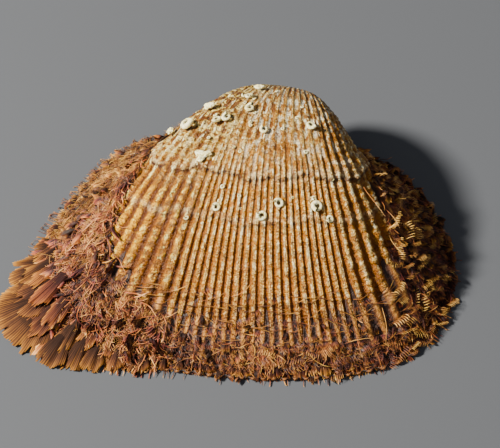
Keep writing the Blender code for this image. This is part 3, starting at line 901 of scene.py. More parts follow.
# Place round the edge and the age at which the skin starts there
SKIN_TOP = [(0.00, 0.30), (0.15, 0.36), (0.23, 0.49), (0.27, 0.59), (0.29, 0.67), (0.31, 0.74),
            (0.34, 0.80), (0.40, 0.85), (0.50, 0.88), (0.60, 0.87), (0.68, 0.83), (0.735, 0.77),
            (0.76, 0.70), (0.79, 0.55), (0.85, 0.50), (1.00, 0.45)]
SKIN_STEPS = 5                          # mesh columns to one rib
SKIN_ROWS = 46
SKIN_THICK = 0.16
SKIN_SUNK = 0.15                        # mm that its inner side lies under the bare valve
SKIN_RAGGED = 0.035                     # how far, in age, its upper edge strays
SKIN_LAG = 0.02                         # how much higher it climbs in a groove, in age
SKIN_INNER_ROWS = (0.9, 0.6, 0.3, 0.0)
SKIN_LOWEST = 0.05                      # mm over the table
WRINKLE_HEIGHT = 0.05                   # mm, of the wrinkles across it
WRINKLES = 60                           # radians of them from its upper edge to the hem
SKIN_SEED = 5
HEM_HEIGHT = 0.12                       # of the skin's lower edge over the table
# The hem's rows: reach past the edge and height in mm
HEM_ROWS = [(0.50, 0.75), (0.55, 0.35), (0.35, HEM_HEIGHT), (0.05, HEM_HEIGHT)]


def crest_of(place):
    """1 on a rib's crest and 0 in a groove."""
    return 0.5 - 0.5 * np.cos(2 * math.pi * np.interp(place, rib_fine, rib_count))


def build_skin():
    """Points, faces and attributes of the skin: its outside, the hem, and its inner side."""
    draw = np.random.default_rng(SKIN_SEED)
    steps = np.linspace(0, RIBS, RIBS * SKIN_STEPS + 1)
    place = np.interp(steps, rib_count, rib_fine)
    place = place[(place > SKIN_FROM) & (place < SKIN_TO)]
    ragged = np.convolve(draw.normal(0, SKIN_RAGGED, len(place)), [0.25, 0.5, 0.25], "same")
    top = read_off(SKIN_TOP, place) + SKIN_LAG * (crest_of(place) - 0.5) + ragged
    crest = crest_of(place)
    out_plan = np.pad(edge_outwards(place), ((0, 0), (0, 1)))
    rows, across = [], []
    for share in np.linspace(0, 1, SKIN_ROWS):
        age = top + (1 - top) * share
        normal = shell_axes(place, age)[0]
        taper = min(1.0, share * 8)
        lift = rib_height(place, age) * crest ** 0.8 * 0.9 + SKIN_THICK * taper - 0.05
        wrinkle = WRINKLE_HEIGHT * np.sin(share * WRINKLES + 9 * crest) * taper
        lift = lift + ledge_heights(strayed(place, age)) + wrinkle
        rows.append(grown(edge_point(place), age) + normal * lift[:, None])
        across.append(np.full(len(place), share))
    hem = np.append(edge_point(place), np.zeros((len(place), 1)), axis=1)
    for reach, height in HEM_ROWS:
        wide = rib_height(place, 1.0) * crest + reach
        rows.append(hem + out_plan * wide[:, None] + np.array([0, 0, height]))
        across.append(np.full(len(place), 1.0))
    for share in SKIN_INNER_ROWS:
        age = top + (1 - top) * share
        normal = shell_axes(place, age)[0]
        rows.append(grown(edge_point(place), age) - normal * SKIN_SUNK)
        across.append(np.full(len(place), share))
    count = len(place)
    faces = []
    for k in range(len(rows)):
        a, b = k * count, (k + 1) % len(rows) * count
        faces += [(a + i, b + i, b + i + 1, a + i + 1) for i in range(count - 1)]
    faces.append(tuple(k * count for k in reversed(range(len(rows)))))
    faces.append(tuple(k * count + count - 1 for k in range(len(rows))))
    points = np.vstack(rows)
    points[:, 2] = np.maximum(points[:, 2], SKIN_LOWEST)
    data = {"along": np.concatenate(across), "crest": np.tile(crest, len(rows))}
    return points - SHIFT, faces, data


def skin_finish():
    """Horn: near black in the grooves, warm brown where it is stretched over the ribs."""
    f = Finish("bare_skin", 0.5)
    along, crest = f.read("along"), f.read("crest")
    blotch, fibre = f.noise(0.9, detail=5.0), f.noise(5.0, detail=4.0)
    tone = f.times_plus(crest, 0.62, f.times_plus(fibre, 0.6, -0.12))
    tone = f.minus(tone, f.times(along, 0.18))
    colour = f.colours(tone, (0.12, 28, 16, 11), (0.36, 70, 40, 24), (0.58, 148, 90, 36),
                       (0.82, 216, 150, 66))
    colour = f.tinted(colour, f.ramp(blotch, 0.45, 0.7), 0.4, 66, 30, 22)
    return f.put(Base_Color=colour, Normal=f.bump(fibre, 0.2))


skin_points, skin_faces, skin_data = build_skin()
skin = add_mesh("bare_skin", skin_points, skin_faces, skin_data)
skin.data.materials.append(skin_finish())
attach(skin, "root")
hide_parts("periostracum")

# Lamellae and fur
# The skin frays into bristles. Many stay fused side by side as narrow saw-toothed blades, the
# rest stand as tufts. All point the way the valve grew, towards its free edge.
BLADE_FIBRES = 6
BLADE_ROWS = 4
BLADE_KINDS = 6
TUFT_FIBRES = 8
TUFT_KINDS = 6
COMB_FIBRES = 7
COMB_KINDS = 4
BLADE_SEED, TUFT_SEED, COMB_SEED, FUR_SEED = 100, 200, 300, 21
FLOOR_CLEAR = 0.12                      # lowest a tip may come, in mm
LOWEST_PLACE, HIGHEST_PLACE = 0.004, 0.992
YOUNGEST = 0.1                          # age up to which bristles and strands may run
TINT_SPREAD, PLUM_SPREAD = 0.13, 0.2
PATH_STEPS = 12                         # to measure how far the valve grows between two ages
# Share of a fibre's length, and half its width there
TUFT_TAPER = [(0.0, 0.040), (0.4, 0.036), (0.75, 0.026), (1.0, 0.0)]
COMB_TAPER = [(0.0, 0.022), (0.35, 0.026), (0.7, 0.022), (1.0, 0.006)]
# Places and ages: the free edge, and the upper side of the band of dense fur
EDGE_AGE = [(0.0, 1.0), (1.0, 1.0)]
BAND_TOP = [(0.0, 0.70), (0.24, 0.68), (0.30, 0.72), (0.36, 0.81), (0.42, 0.90), (0.70, 0.92),
            (0.76, 0.88), (1.0, 0.88)]
# Rows across the grooves: their ages, and the share of the grooves that have one
BLADE_AGES, BLADE_SHARES = (0.862, 0.89, 0.92, 0.95, 0.98), (0.3, 0.5, 0.7, 0.9, 1.0)
GROOVE_AGES = (0.80, 0.83, 0.86, 0.875, 0.89, 0.905, 0.92, 0.935, 0.945, 0.955, 0.962, 0.968)
GROOVE_SHARES = (0.4, 0.3, 0.9, 0.6, 1.0, 0.8, 1.0, 1.0, 1.0, 1.0, 1.0, 1.0)
FRINGE_STEP = 0.20                      # mm between the tufts of the fringe
FRINGE_AGE = 0.972                      # and the youngest age of their roots


def blade_kind(number):
    """A saw-toothed blade of fused fibres, 1 wide and 1 long along Y."""
    draw = np.random.default_rng(BLADE_SEED + number)
    columns = 2 * BLADE_FIBRES + 1
    ends = draw.uniform(0.80, 1.0, columns)
    ends[::2] -= draw.uniform(0.20, 0.42, len(ends[::2]))
    across = np.linspace(-0.5, 0.5, columns)
    curl, twist = draw.uniform(-0.25, 0.35), draw.uniform(-0.3, 0.3)
    sway, flare = draw.uniform(-0.5, 0.5), draw.uniform(0.30, 0.7)
    hollow = draw.uniform(-0.6, 0.8)
    points, along, side = [], [], []
    fibre = np.where(np.arange(columns) % 2 == 1, 1.0, 0.0)
    for row in range(BLADE_ROWS + 1):
        share = row / BLADE_ROWS
        y = share * ends
        wide = 1 - flare + flare * share ** 0.7
        ridge = (fibre - 0.5) * 0.09 * (0.4 + 0.6 * share)
        x = across * wide + sway * share ** 2
        z = curl * y ** 2 + 0.20 * np.sin(math.pi * share) + twist * across * share + ridge
        points.append(np.column_stack([x, y, z - hollow * across ** 2 * share]))
        along.append(np.full(columns, share))
        side.append(across + 0.5)
    return add_mesh("blade_kind_%d" % number, np.vstack(points) / MM,
                    grid_faces(BLADE_ROWS + 1, columns),
                    {"along": np.concatenate(along), "across": np.concatenate(side),
                     "fibre": np.tile(fibre, BLADE_ROWS + 1)})


def tuft_kind(number):
    """A few separate tapered fibres on one root line, 1 wide and 1 long along Y."""
    draw = np.random.default_rng(TUFT_SEED + number)
    points, faces, along, side = [], [], [], []
    for fibre in range(TUFT_FIBRES):
        x0 = (fibre + draw.uniform(0.2, 0.8)) / TUFT_FIBRES - 0.5
        long, lift = draw.uniform(0.55, 1.0), draw.uniform(-0.30, 0.50)
        spread, sway = draw.uniform(-0.8, 1.2), draw.uniform(-0.35, 0.35)
        first = len(points)
        for share, wide in TUFT_TAPER:
            x = x0 * (1 + spread * share) + sway * share ** 2
            y, z = long * share, lift * share ** 2 + 0.12 * math.sin(math.pi * share)
            for edge in ((-wide, wide) if wide else (0.0,)):
                points.append((x + edge, y, z))
                along.append(share)
                side.append(fibre / TUFT_FIBRES)
        faces += [(first, first + 1, first + 3, first + 2),
                  (first + 2, first + 3, first + 5, first + 4),
                  (first + 4, first + 5, first + 6)]
    return add_mesh("tuft_kind_%d" % number, np.array(points) / MM, faces,
                    {"along": along, "across": side, "fibre": np.ones(len(along))})


def comb_kind(number):
    """A row of even, parallel fibres that rise and hook over, 1 wide and 1 long along Y."""
    draw = np.random.default_rng(COMB_SEED + number)
    points, faces, along, side = [], [], [], []
    hook, lean = draw.uniform(0.25, 0.6), draw.uniform(-0.3, 0.3)
    for fibre in range(COMB_FIBRES):
        x0 = (fibre + draw.uniform(0.4, 0.6)) / COMB_FIBRES - 0.5
        long = draw.uniform(0.78, 1.0) * (1 - 0.5 * x0 ** 2)
        first = len(points)
        for share, wide in COMB_TAPER:
            x = x0 * (1 + 0.12 * share) + lean * share ** 2
            y, z = long * share, hook * math.sin(2.2 * share)
            points += [(x - wide, y, z), (x, y, z + wide), (x + wide, y, z)]
            along += [share] * 3
            side += [fibre / COMB_FIBRES] * 3
        for row in range(len(COMB_TAPER) - 1):
            a = first + 3 * row
            faces += [(a, a + 1, a + 4, a + 3), (a + 1, a + 2, a + 5, a + 4)]
    return add_mesh("comb_kind_%d" % number, np.array(points) / MM, faces,
                    {"along": along, "across": side, "fibre": np.ones(len(along))})


def horn_effect():
    """Horn fibres: dark red-brown roots, golden-brown tips, streaked along the fibres."""
    e = Effect("horn_fibre_colour",
               {"Shade": 0.0, "Tips": 0.72, "Streaks": 1.5, "Dips": 0.30, "Patches": 1.0},
               {"Color": "NodeSocketColor", "Height": "NodeSocketFloat"})
    along, across, tint = e.read("along"), e.read("across"), e.read("tint")
    lines = e.chart((across, 9.0), (along, 0.7), (tint, 40.0))
    streak = e.noise(1.6, detail=3.0, roughness=0.7, where=lines)
    blotch, patch = e.noise(0.45, detail=3.0), e.noise(0.16, detail=2.0)
    tone = e.times_plus(e.math("POWER", along, 1.6), e.input("Tips"),
                        e.times_plus(tint, 0.7, e.input("Shade")))
    tone = e.times_plus(e.minus(streak, 0.56), e.input("Streaks"), tone)
    patchy = e.times_plus(e.minus(patch, 0.50), 1.2, e.times(e.minus(blotch, 0.52), 0.9))
    tone = e.times_plus(patchy, e.input("Patches"), tone)
    dip = e.times(e.rest(e.read("fibre")), e.input("Dips"))
    tone = e.minus(tone, dip)
    brown = e.colours(tone, (0.0, 42, 29, 24), (0.28, 85, 54, 36), (0.58, 147, 96, 38),
                      (1.0, 238, 184, 92))
    red = e.colours(tone, (0.0, 48, 26, 30), (0.32, 116, 52, 48), (0.66, 186, 98, 56),
                    (1.0, 224, 158, 112))
    e.give("Color", e.mix(e.read("plum"), brown, red))
    e.give("Height", streak)
    return e


def horn_finish(name, roughness, gloss, **values):
    """A material of horn fibres, its shine and streaks set for one kind of piece."""
    f = Finish(name, roughness)
    fibres = f.effect(horn_colour, **values)
    return f.put(Base_Color=fibres.outputs["Color"], Specular_IOR_Level=gloss,
                 Normal=f.bump(fibres.outputs["Height"], 0.12, 0.7))


def planting_tree(name, kinds, finish):
    """Stands one of the kinds on each point, turned and sized by the point's attributes."""
    inputs = {"Material": finish}
    for i, kind in enumerate(kinds):
        inputs["Kind %d" % i] = kind
    tree = Tree(name, inputs)
    gathered = tree.node("GeometryNodeJoinGeometry")
    for i in reversed(range(len(kinds))):
        info = tree.node("GeometryNodeObjectInfo", {"Object": tree.input("Kind %d" % i),
                                                    "As Instance": True})
        tree.join(gathered.inputs["Geometry"], info.outputs["Geometry"])
    turn = tree.node("FunctionNodeAxesToRotation",
                     {"Primary Axis": tree.read("lay", "FLOAT_VECTOR"),
                      "Secondary Axis": tree.read("up", "FLOAT_VECTOR")},
                     primary_axis="Y", secondary_axis="Z")
    spots = tree.node("GeometryNodeMeshToPoints", {"Mesh": tree.input()})
    planted = tree.node("GeometryNodeInstanceOnPoints",
                        {"Points": spots.outputs["Points"],
                         "Instance": gathered.outputs["Geometry"], "Pick Instance": True,
                         "Instance Index": tree.read("kind", "INT"),
                         "Rotation": turn.outputs["Rotation"],
                         "Scale": tree.read("size", "FLOAT_VECTOR")})
    real = tree.shape("RealizeInstances", planted.outputs["Instances"])
    return tree.finish(tree.shape("SetMaterial", tree.boxed(real), Material=tree.input("Material")))


def spread(draw, first, last, apart, rows_apart, top, bottom):
    """Places and ages on an uneven grid between two places and two ages."""
    places_, ages_ = [], []
    for place in np.arange(first, last, apart / EDGE_LENGTH):
        young, old = read_off(top, place), read_off(bottom, place)
        at = np.linspace(young, old, PATH_STEPS)
        path = grown(edge_point(np.full(PATH_STEPS, place)), at)
        length = np.linalg.norm(np.diff(path, axis=0), axis=1).sum()
        rows = max(1, int(round(length / rows_apart)))
        ages_.append(young + (old - young) * (np.arange(rows) + draw.uniform(0, 1, rows)) / rows)
        places_.append(place + draw.uniform(-0.5, 0.5, rows) * apart / EDGE_LENGTH)
    place = np.clip(np.concatenate(places_), LOWEST_PLACE, HIGHEST_PLACE)
    return place, np.clip(np.concatenate(ages_), YOUNGEST, 1.0)


def laid(draw, place, age, length, lift, wander):
    """Root points and directions of bristles on the skin, clear of the table."""
    out, growth, around = shell_axes(place, age)
    yaw = draw.normal(0, wander, len(place))[:, None]
    flat = growth * np.cos(yaw) + around * np.sin(yaw)
    rise = (lift * draw.uniform(0.3, 1.7, len(place)))[:, None]
    lay = flat * np.cos(rise) + out * np.sin(rise)
    root = grown(edge_point(place), age)
    root = root + out * (rib_height(place, age) * crest_of(place) + 0.05)[:, None]
    root[:, 2] = np.maximum(root[:, 2], FLOOR_CLEAR + 0.05)
    lowest = (FLOOR_CLEAR - root[:, 2]) / length
    drop = np.clip(np.maximum(lay[:, 2], lowest), -0.98, 0.98)
    level = unit(lay[:, :2]) * np.sqrt(1 - drop ** 2)[:, None]
    lay = np.where((lay[:, 2] < lowest)[:, None], np.column_stack([level, drop]), lay)
    up = unit(out - lay * (out * lay).sum(axis=1, keepdims=True))
    return root - SHIFT, lay, up


def batch(draw, spots, length, width, lift, wander, tint, plum, kinds):
    """Attributes of bristles at these spots.

    Length and width are pairs of least and most in mm, lift and wander are turns in radians, and
    tint and plum, how pale and how red the horn is, run from 0 to 1."""
    place, age = spots
    count = len(place)
    long = draw.uniform(length[0], length[1], count) * np.clip(1.15 - 0.2 * age, 0.9, 1.1)
    wide = draw.uniform(width[0], width[1], count)
    root, lay, up = laid(draw, place, age, long, lift, wander)
    return {"root": root, "lay": lay, "up": up,
            "size": np.column_stack([wide, long, long]) * MM,
            "kind": draw.integers(0, kinds, count),
            "tint": np.clip(tint + draw.normal(0, TINT_SPREAD, count), 0, 1),
            "plum": np.clip(plum + draw.normal(0, PLUM_SPREAD, count), 0, 1)}


def plant(name, tree, batches, steps=1):
    """Runs a tree on several batches of points, or of lines of so many steps, as one piece."""
    merged = {key: np.concatenate([batch[key] for batch in batches]) for key in batches[0]}
    root = merged.pop("root")
    edges = [(i, i + 1) for i in range(len(root) - 1) if (i + 1) % steps]
    made = tree.made_plain(add_mesh(name + "_roots", root, [], merged, edges), name)
    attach(made, "root")
    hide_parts("periostracum")


def rows_between_ribs(draw, first, last, ages, shares):
    """Spots in the grooves from one place to another, in rows at the given ages."""
    grooves = np.interp(np.arange(RIBS), rib_count, rib_fine)
    grooves = grooves[(grooves > first) & (grooves < last)]
    spots = [(groove, age + draw.normal(0, 0.006)) for age, kept in zip(ages, shares)
             for groove in grooves if draw.uniform() < kept]
    places_, ages_ = np.array(spots).T
    return places_, np.clip(ages_, YOUNGEST, 1.0)


def fringe(draw, first, last):
    """Spots close together along the free edge."""
    place = np.arange(first, last, FRINGE_STEP / EDGE_LENGTH)
    return place, draw.uniform(FRINGE_AGE, 1.0, len(place))


blade_kinds = [blade_kind(i) for i in range(BLADE_KINDS)]
tuft_kinds = [tuft_kind(i) for i in range(TUFT_KINDS)]
comb_kinds = [comb_kind(i) for i in range(COMB_KINDS)]
horn_colour = horn_effect()
horn = horn_finish("horn_blades", 0.55, 0.16, Tips=0.64)
fur = horn_finish("horn_fibres", 0.5, 0.35)
blades = planting_tree("fused_blades", blade_kinds, horn)
tufts = planting_tree("standing_tufts", tuft_kinds, fur)
combs = planting_tree("standing_combs", comb_kinds, fur)

draw = np.random.default_rng(FUR_SEED)
plant("blades", blades, [
    batch(draw, spread(draw, 0.03, 0.24, 2.4, 2.4, SKIN_TOP, EDGE_AGE), (1.2, 2.2), (0.2, 0.5),
          0.35, 0.5, 0.14, 0.10, BLADE_KINDS),
    batch(draw, spread(draw, 0.21, 0.43, 1.8, 1.8, BAND_TOP, EDGE_AGE), (1.8, 3.2), (0.20, 0.44),
          0.30, 0.5, 0.06, 0.45, BLADE_KINDS),
    batch(draw, rows_between_ribs(draw, 0.38, 0.76, BLADE_AGES, BLADE_SHARES), (0.8, 1.5),
          (0.35, 0.8), 0.40, 0.3, 0.08, 0.35, BLADE_KINDS),
    batch(draw, spread(draw, 0.42, 0.78, 1.8, 1.4, BAND_TOP, EDGE_AGE), (1.0, 1.9), (0.3, 0.8),
          0.22, 0.4, 0.06, 0.2, BLADE_KINDS),
    batch(draw, spread(draw, 0.76, 0.98, 2.0, 2.0, SKIN_TOP, EDGE_AGE), (1.2, 2.2), (0.25, 0.7),
          0.40, 0.5, 0.12, 0.1, BLADE_KINDS)])
plant("fur_left", tufts, [
    batch(draw, spread(draw, 0.012, 0.25, 0.46, 0.46, SKIN_TOP, EDGE_AGE), (0.7, 1.3), (0.5, 1.0),
          0.55, 0.45, 0.16, 0.10, TUFT_KINDS),
    batch(draw, spread(draw, 0.25, 0.43, 0.52, 0.48, SKIN_TOP, EDGE_AGE), (0.9, 1.9), (0.5, 1.1),
          0.45, 0.70, 0.27, 0.22, TUFT_KINDS),
    batch(draw, fringe(draw, 0.012, 0.262), (1.0, 1.6), (0.9, 1.6),
          0.35, 0.25, 0.55, 0.0, TUFT_KINDS)])
plant("fur_right", tufts, [
    batch(draw, rows_between_ribs(draw, 0.40, 0.76, GROOVE_AGES, GROOVE_SHARES), (0.6, 1.2),
          (0.6, 1.2), 0.40, 0.50, 0.13, 0.45, TUFT_KINDS),
    batch(draw, spread(draw, 0.42, 0.74, 0.60, 0.50, BAND_TOP, EDGE_AGE), (0.6, 1.2), (0.5, 1.0),
          0.35, 0.50, 0.09, 0.50, TUFT_KINDS),
    batch(draw, spread(draw, 0.74, 0.988, 0.55, 0.58, SKIN_TOP, EDGE_AGE), (0.8, 1.5), (0.5, 1.0),
          0.12, 0.22, 0.13, 0.75, TUFT_KINDS)])
plant("combs", combs, [
    batch(draw, spread(draw, 0.715, 0.93, 2.1, 2.3, SKIN_TOP, EDGE_AGE), (1.0, 1.7), (1.2, 2.4),
          0.75, 0.45, 0.90, 0.1, COMB_KINDS),
    batch(draw, spread(draw, 0.25, 0.43, 3.2, 2.6, BAND_TOP, EDGE_AGE), (1.2, 2.2), (1.0, 2.2),
          0.40, 0.60, 0.26, 0.7, COMB_KINDS),
    batch(draw, spread(draw, 0.55, 0.76, 3.0, 2.0, BAND_TOP, EDGE_AGE), (1.0, 1.8), (1.2, 2.4),
          0.35, 0.40, 0.34, 0.3, COMB_KINDS)])

for kind in blade_kinds + tuft_kinds + comb_kinds:
    bpy.data.objects.remove(kind, do_unlink=True)

# Strands
# Long single fibres and thin ribbons of horn that have come loose at one end and lie swept over
# the skin in arcs, or stretch across the ribs near the free edge. A few stand off as stray hairs.
STRAND_STEPS = 9
STRAND_SIDES = 3
STRAND_SEED = 17
STRAND_FROM, STRAND_TO = 0.006, 0.990   # places that they stay between
# Place round the edge, and how far in mm strands and fans may reach past it
HEM_REACH = [(0.00, 1.0), (0.10, 1.2), (0.15, 1.5), (0.20, 2.0), (0.42, 1.6), (0.46, 1.0),
             (0.72, 0.9), (0.79, 1.4), (0.85, 1.2), (1.00, 1.0)]
LOW_BAND = [(0.0, 0.80), (1.0, 0.80)]   # place and age, for the strands across the ribs
# Places and ages of the stray hairs
STRAYS = (np.array([0.742, 0.755, 0.70, 0.66, 0.60, 0.775, 0.47, 0.36, 0.33, 0.27, 0.22, 0.80]),
          np.array([0.58, 0.72, 0.86, 0.90, 0.93, 0.64, 0.92, 0.90, 0.86, 0.85, 0.75, 0.70]))


def swept(draw, spots, length, thick, heading, wander, bend, lift, tint, plum, cling=0.7):
    """Lines of strands traced over the valve, and their attributes; sizes in mm, turns in radians.

    A heading of 0 is along the growth. Cling is 1 where a strand follows the grooves."""
    place, age = spots[0].copy(), spots[1].copy()
    count = len(place)
    step = draw.uniform(length[0], length[1], count) / (STRAND_STEPS - 1)
    angle = heading + draw.normal(0, wander, count)
    curve = draw.normal(0, bend, count)
    radius = draw.uniform(thick[0], thick[1], count) / 2
    rise = lift * draw.uniform(0.2, 1.8, count)
    past = np.zeros(count)
    lines, radii = [], []
    for number in range(STRAND_STEPS):
        share = number / (STRAND_STEPS - 1)
        out = shell_axes(place, age)[0]
        rib = rib_height(place, age) * (1 - cling + cling * crest_of(place) ** 0.8)
        high = rib + 0.10 + 0.15 * math.sin(math.pi * share) + rise * share ** 1.5
        point = grown(edge_point(place), age) + out * high[:, None]
        point[:, :2] += edge_outwards(place) * past[:, None]
        point[:, 2] = np.maximum(point[:, 2] - 0.5 * past, FLOOR_CLEAR + 0.05)
        lines.append(point)
        radii.append(radius * (1 - 0.85 * share ** 3))
        here, before = grown(edge_point(place), age), grown(edge_point(place), age - NUDGE)
        fast = np.linalg.norm(here - before, axis=1)
        wide = np.linalg.norm(grown(edge_point(np.minimum(place + NUDGE, 1)), age)
                              - grown(edge_point(np.maximum(place - NUDGE, 0)), age), axis=1)
        turned = angle + curve * share
        ahead = step * np.cos(turned)
        free = np.where(age + ahead * NUDGE / fast > 1.0, np.maximum(ahead, 0), 0.0)
        past = np.minimum(past + free, read_off(HEM_REACH, place))
        age = np.clip(age + ahead * NUDGE / fast, YOUNGEST, 1.0)
        sideways = step * np.sin(turned) * np.where(past > 0, 0.25, 1.0)
        place = np.clip(place + sideways * 2 * NUDGE / wide, STRAND_FROM, STRAND_TO)
    points = np.array(lines).transpose(1, 0, 2).reshape(-1, 3)

    def each(values):
        return np.repeat(values, STRAND_STEPS)

    return {"root": points - SHIFT, "thick": np.array(radii).T.ravel() * MM,
            "along": np.tile(np.linspace(0, 1, STRAND_STEPS), count),
            "across": each(draw.uniform(0, 1, count)), "fibre": np.ones(len(points)),
            "tint": each(np.clip(tint + draw.normal(0, TINT_SPREAD, count), 0, 1.3)),
            "plum": each(np.clip(plum + draw.normal(0, PLUM_SPREAD, count), 0, 1))}


def strand_tree():
    """Makes each line a tapered fibre, kept inside the solid's box."""
    tree = Tree("swept_strands", {"Sides": STRAND_SIDES, "Material": fur})
    ring = tree.node("GeometryNodeCurvePrimitiveCircle",
                     {"Resolution": tree.input("Sides"), "Radius": 1.0})
    line = tree.node("GeometryNodeMeshToCurve", {"Mesh": tree.input()})
    body = tree.node("GeometryNodeCurveToMesh", {"Curve": line.outputs["Curve"],
                     "Profile Curve": ring.outputs["Curve"], "Scale": tree.read("thick"),
                     "Fill Caps": True})
    real = tree.shape("RealizeInstances", tree.boxed(body.outputs["Mesh"]))
    return tree.finish(tree.shape("SetMaterial", real, Material=tree.input("Material")))


strands = strand_tree()
draw = np.random.default_rng(STRAND_SEED)
plant("strands_left", strands, [
    swept(draw, spread(draw, 0.012, 0.26, 0.62, 0.9, SKIN_TOP, EDGE_AGE), (2.2, 5.2), (0.07, 0.18),
          0.0, 0.35, 0.9, 0.3, 0.28, 0.15),
    swept(draw, spread(draw, 0.25, 0.43, 0.52, 0.62, SKIN_TOP, EDGE_AGE), (1.5, 4.2), (0.10, 0.34),
          0.0, 0.8, 1.4, 0.6, 0.38, 0.60)], STRAND_STEPS)
plant("strands_right", strands, [
    swept(draw, spread(draw, 0.40, 0.76, 0.8, 0.8, BAND_TOP, EDGE_AGE), (0.9, 2.4), (0.08, 0.20),
          0.0, 0.8, 1.0, 0.4, 0.30, 0.2),
    swept(draw, spread(draw, 0.34, 0.74, 1.6, 2.2, LOW_BAND, EDGE_AGE), (1.2, 4.0), (0.06, 0.13),
          math.pi / 2, 0.2, 0.5, 0.1, 0.45, 0.2, 0.3),
    swept(draw, spread(draw, 0.74, 0.988, 1.1, 1.3, SKIN_TOP, EDGE_AGE), (1.0, 2.6), (0.08, 0.18),
          0.0, 0.6, 0.9, 0.5, 0.22, 0.5),
    swept(draw, STRAYS, (3.0, 4.6), (0.05, 0.07), 0.3, 0.8, 0.8, 2.4, 1.0, 0.5)], STRAND_STEPS)

# Fans
# At the drawn-out back corner the skin runs on past the shell in broad fans, thin sheets of
# parallel fibres that spread from a narrow root and end in a saw edge. Small ones hem the rest.
# Each row: place, half its width, age at the root, reach past the edge, tip height, tint, plum
BIG_FANS = [
    (0.208, 0.022, 0.95, 2.2, 0.5, -0.06, 0.0), (0.242, 0.026, 0.93, 4.0, 0.8, -0.04, 0.0),
    (0.286, 0.040, 0.93, 6.0, 0.5, 0.04, 0.0), (0.326, 0.016, 0.95, 5.0, 0.5, 0.02, 0.0),
    (0.346, 0.014, 0.94, 4.3, 0.3, 0.06, 0.0), (0.364, 0.014, 0.95, 3.3, 0.5, 0.00, 0.0),
    (0.385, 0.016, 0.94, 2.6, 0.3, 0.04, 0.1), (0.412, 0.016, 0.95, 2.0, 0.3, 0.00, 0.1),
    (0.317, 0.006, 1.00, 4.8, 0.8, 0.70, 0.6), (0.262, 0.012, 0.97, 4.6, 0.2, 0.08, 0.0),
    (0.245, 0.014, 0.89, 2.4, 1.5, 0.02, 0.0), (0.276, 0.020, 0.88, 3.3, 1.6, -0.16, 0.1),
    (0.300, 0.013, 0.89, 3.4, 1.3, -0.16, 0.2), (0.330, 0.012, 0.91, 2.8, 1.0, 0.08, 0.0),
    (0.225, 0.012, 0.86, 1.2, 1.9, -0.04, 0.1), (0.258, 0.011, 0.83, 1.2, 2.6, -0.04, 0.2),
    (0.282, 0.012, 0.82, 1.6, 2.9, 0.08, 0.4), (0.306, 0.012, 0.83, 1.4, 2.4, 0.04, 0.3),
    (0.350, 0.012, 0.88, 1.4, 1.4, 0.06, 0.2), (0.378, 0.012, 0.90, 1.2, 1.1, 0.06, 0.2)]
FAN_ROWS = 9
FAN_THICK = 0.05
FIBRES_PER_MM = 5.2
FAN_SEED = 8
# Places of the small fans: the first, the end, and from one to the next
HEM_FAN_PLACES = (0.018, 0.985, 0.0125)
BARE_HEM = (0.26, 0.35)                 # places where the big fans stand instead


def build_fan(draw, place, half, root_age, reach, high, tint, plum):
    """Points, faces and attributes of one fan."""
    fibres = max(5, int(2 * half * EDGE_LENGTH * FIBRES_PER_MM))
    columns = 2 * fibres + 1
    u = np.linspace(-1, 1, columns)
    wander = np.interp(u, np.linspace(-1, 1, 9), draw.normal(0, 0.05, 9))
    length = 1 - 0.34 * u ** 2 + wander - draw.uniform(0.0, 0.04, columns)
    length[::2] -= draw.uniform(0.02, 0.06, len(length[::2]))
    for cut in draw.uniform(-0.9, 0.9, 2):
        length -= draw.uniform(0.02, 0.20) * np.exp(-((u - cut) / 0.04) ** 2)
    root_place = np.clip(place + u * half * 0.26, 0.005, 0.99)
    tip_place = np.clip(place + u * half * 1.15, 0.004, 0.992)
    out = shell_axes(root_place, np.full(columns, root_age))[0]
    root = grown(edge_point(root_place), np.full(columns, root_age))
    root = root + out * (rib_height(root_place, root_age) * crest_of(root_place) + 0.10)[:, None]
    tip = np.zeros((columns, 3))
    tip[:, :2] = edge_point(tip_place) + edge_outwards(tip_place) * reach
    fold = draw.uniform(3, 6) * u + draw.uniform(0, 6)
    tip[:, 2] = high + 0.18 * np.sin(fold)
    fibre = np.where(np.arange(columns) % 2 == 1, 1.0, 0.0)
    points, along = [], []
    for share in np.linspace(0, 1, FAN_ROWS):
        v = (share * length)[:, None]
        flat = root * (1 - v) + tip * v
        v = v[:, 0]
        flat[:, 2] = root[:, 2] * (1 - v) ** 1.7 + tip[:, 2] * (1 - (1 - v) ** 1.7)
        bulge = 0.55 * (1 - u ** 2) * np.sin(math.pi * np.minimum(v * 1.1, 1.0))
        ridge = (fibre - 0.5) * 0.07 * (0.3 + 0.7 * share)
        flat[:, 2] += bulge + ridge + 0.16 * v * np.sin(2.3 * fold)
        flat[:, 2] = np.maximum(flat[:, 2], FLOOR_CLEAR)
        points.append(flat)
        along.append(np.full(columns, share))
    size = columns * FAN_ROWS
    return np.vstack(points), grid_faces(FAN_ROWS, columns), {
        "along": np.concatenate(along), "across": np.tile(np.arange(columns) / 9.0, FAN_ROWS),
        "tint": np.full(size, tint), "plum": np.full(size, plum), "fibre": np.tile(fibre, FAN_ROWS)}


def gather_fans(name, rows, draw):
    """Makes one piece of several fans, a sheet with a thickness."""
    points, faces, data = gathered(build_fan(draw, *row) for row in rows)
    low = np.array(cad_box[0]) / MM + BOX_CLEAR + FAN_THICK
    high = np.array(cad_box[1]) / MM - BOX_CLEAR - FAN_THICK
    made = add_mesh(name, np.clip(points - SHIFT, low, high), faces, data)
    thick = made.modifiers.new("thickness", "SOLIDIFY")
    thick.thickness = FAN_THICK * MM
    thick.offset = 0
    made.data.materials.append(fan_horn)
    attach(made, "root")
    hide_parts("periostracum")


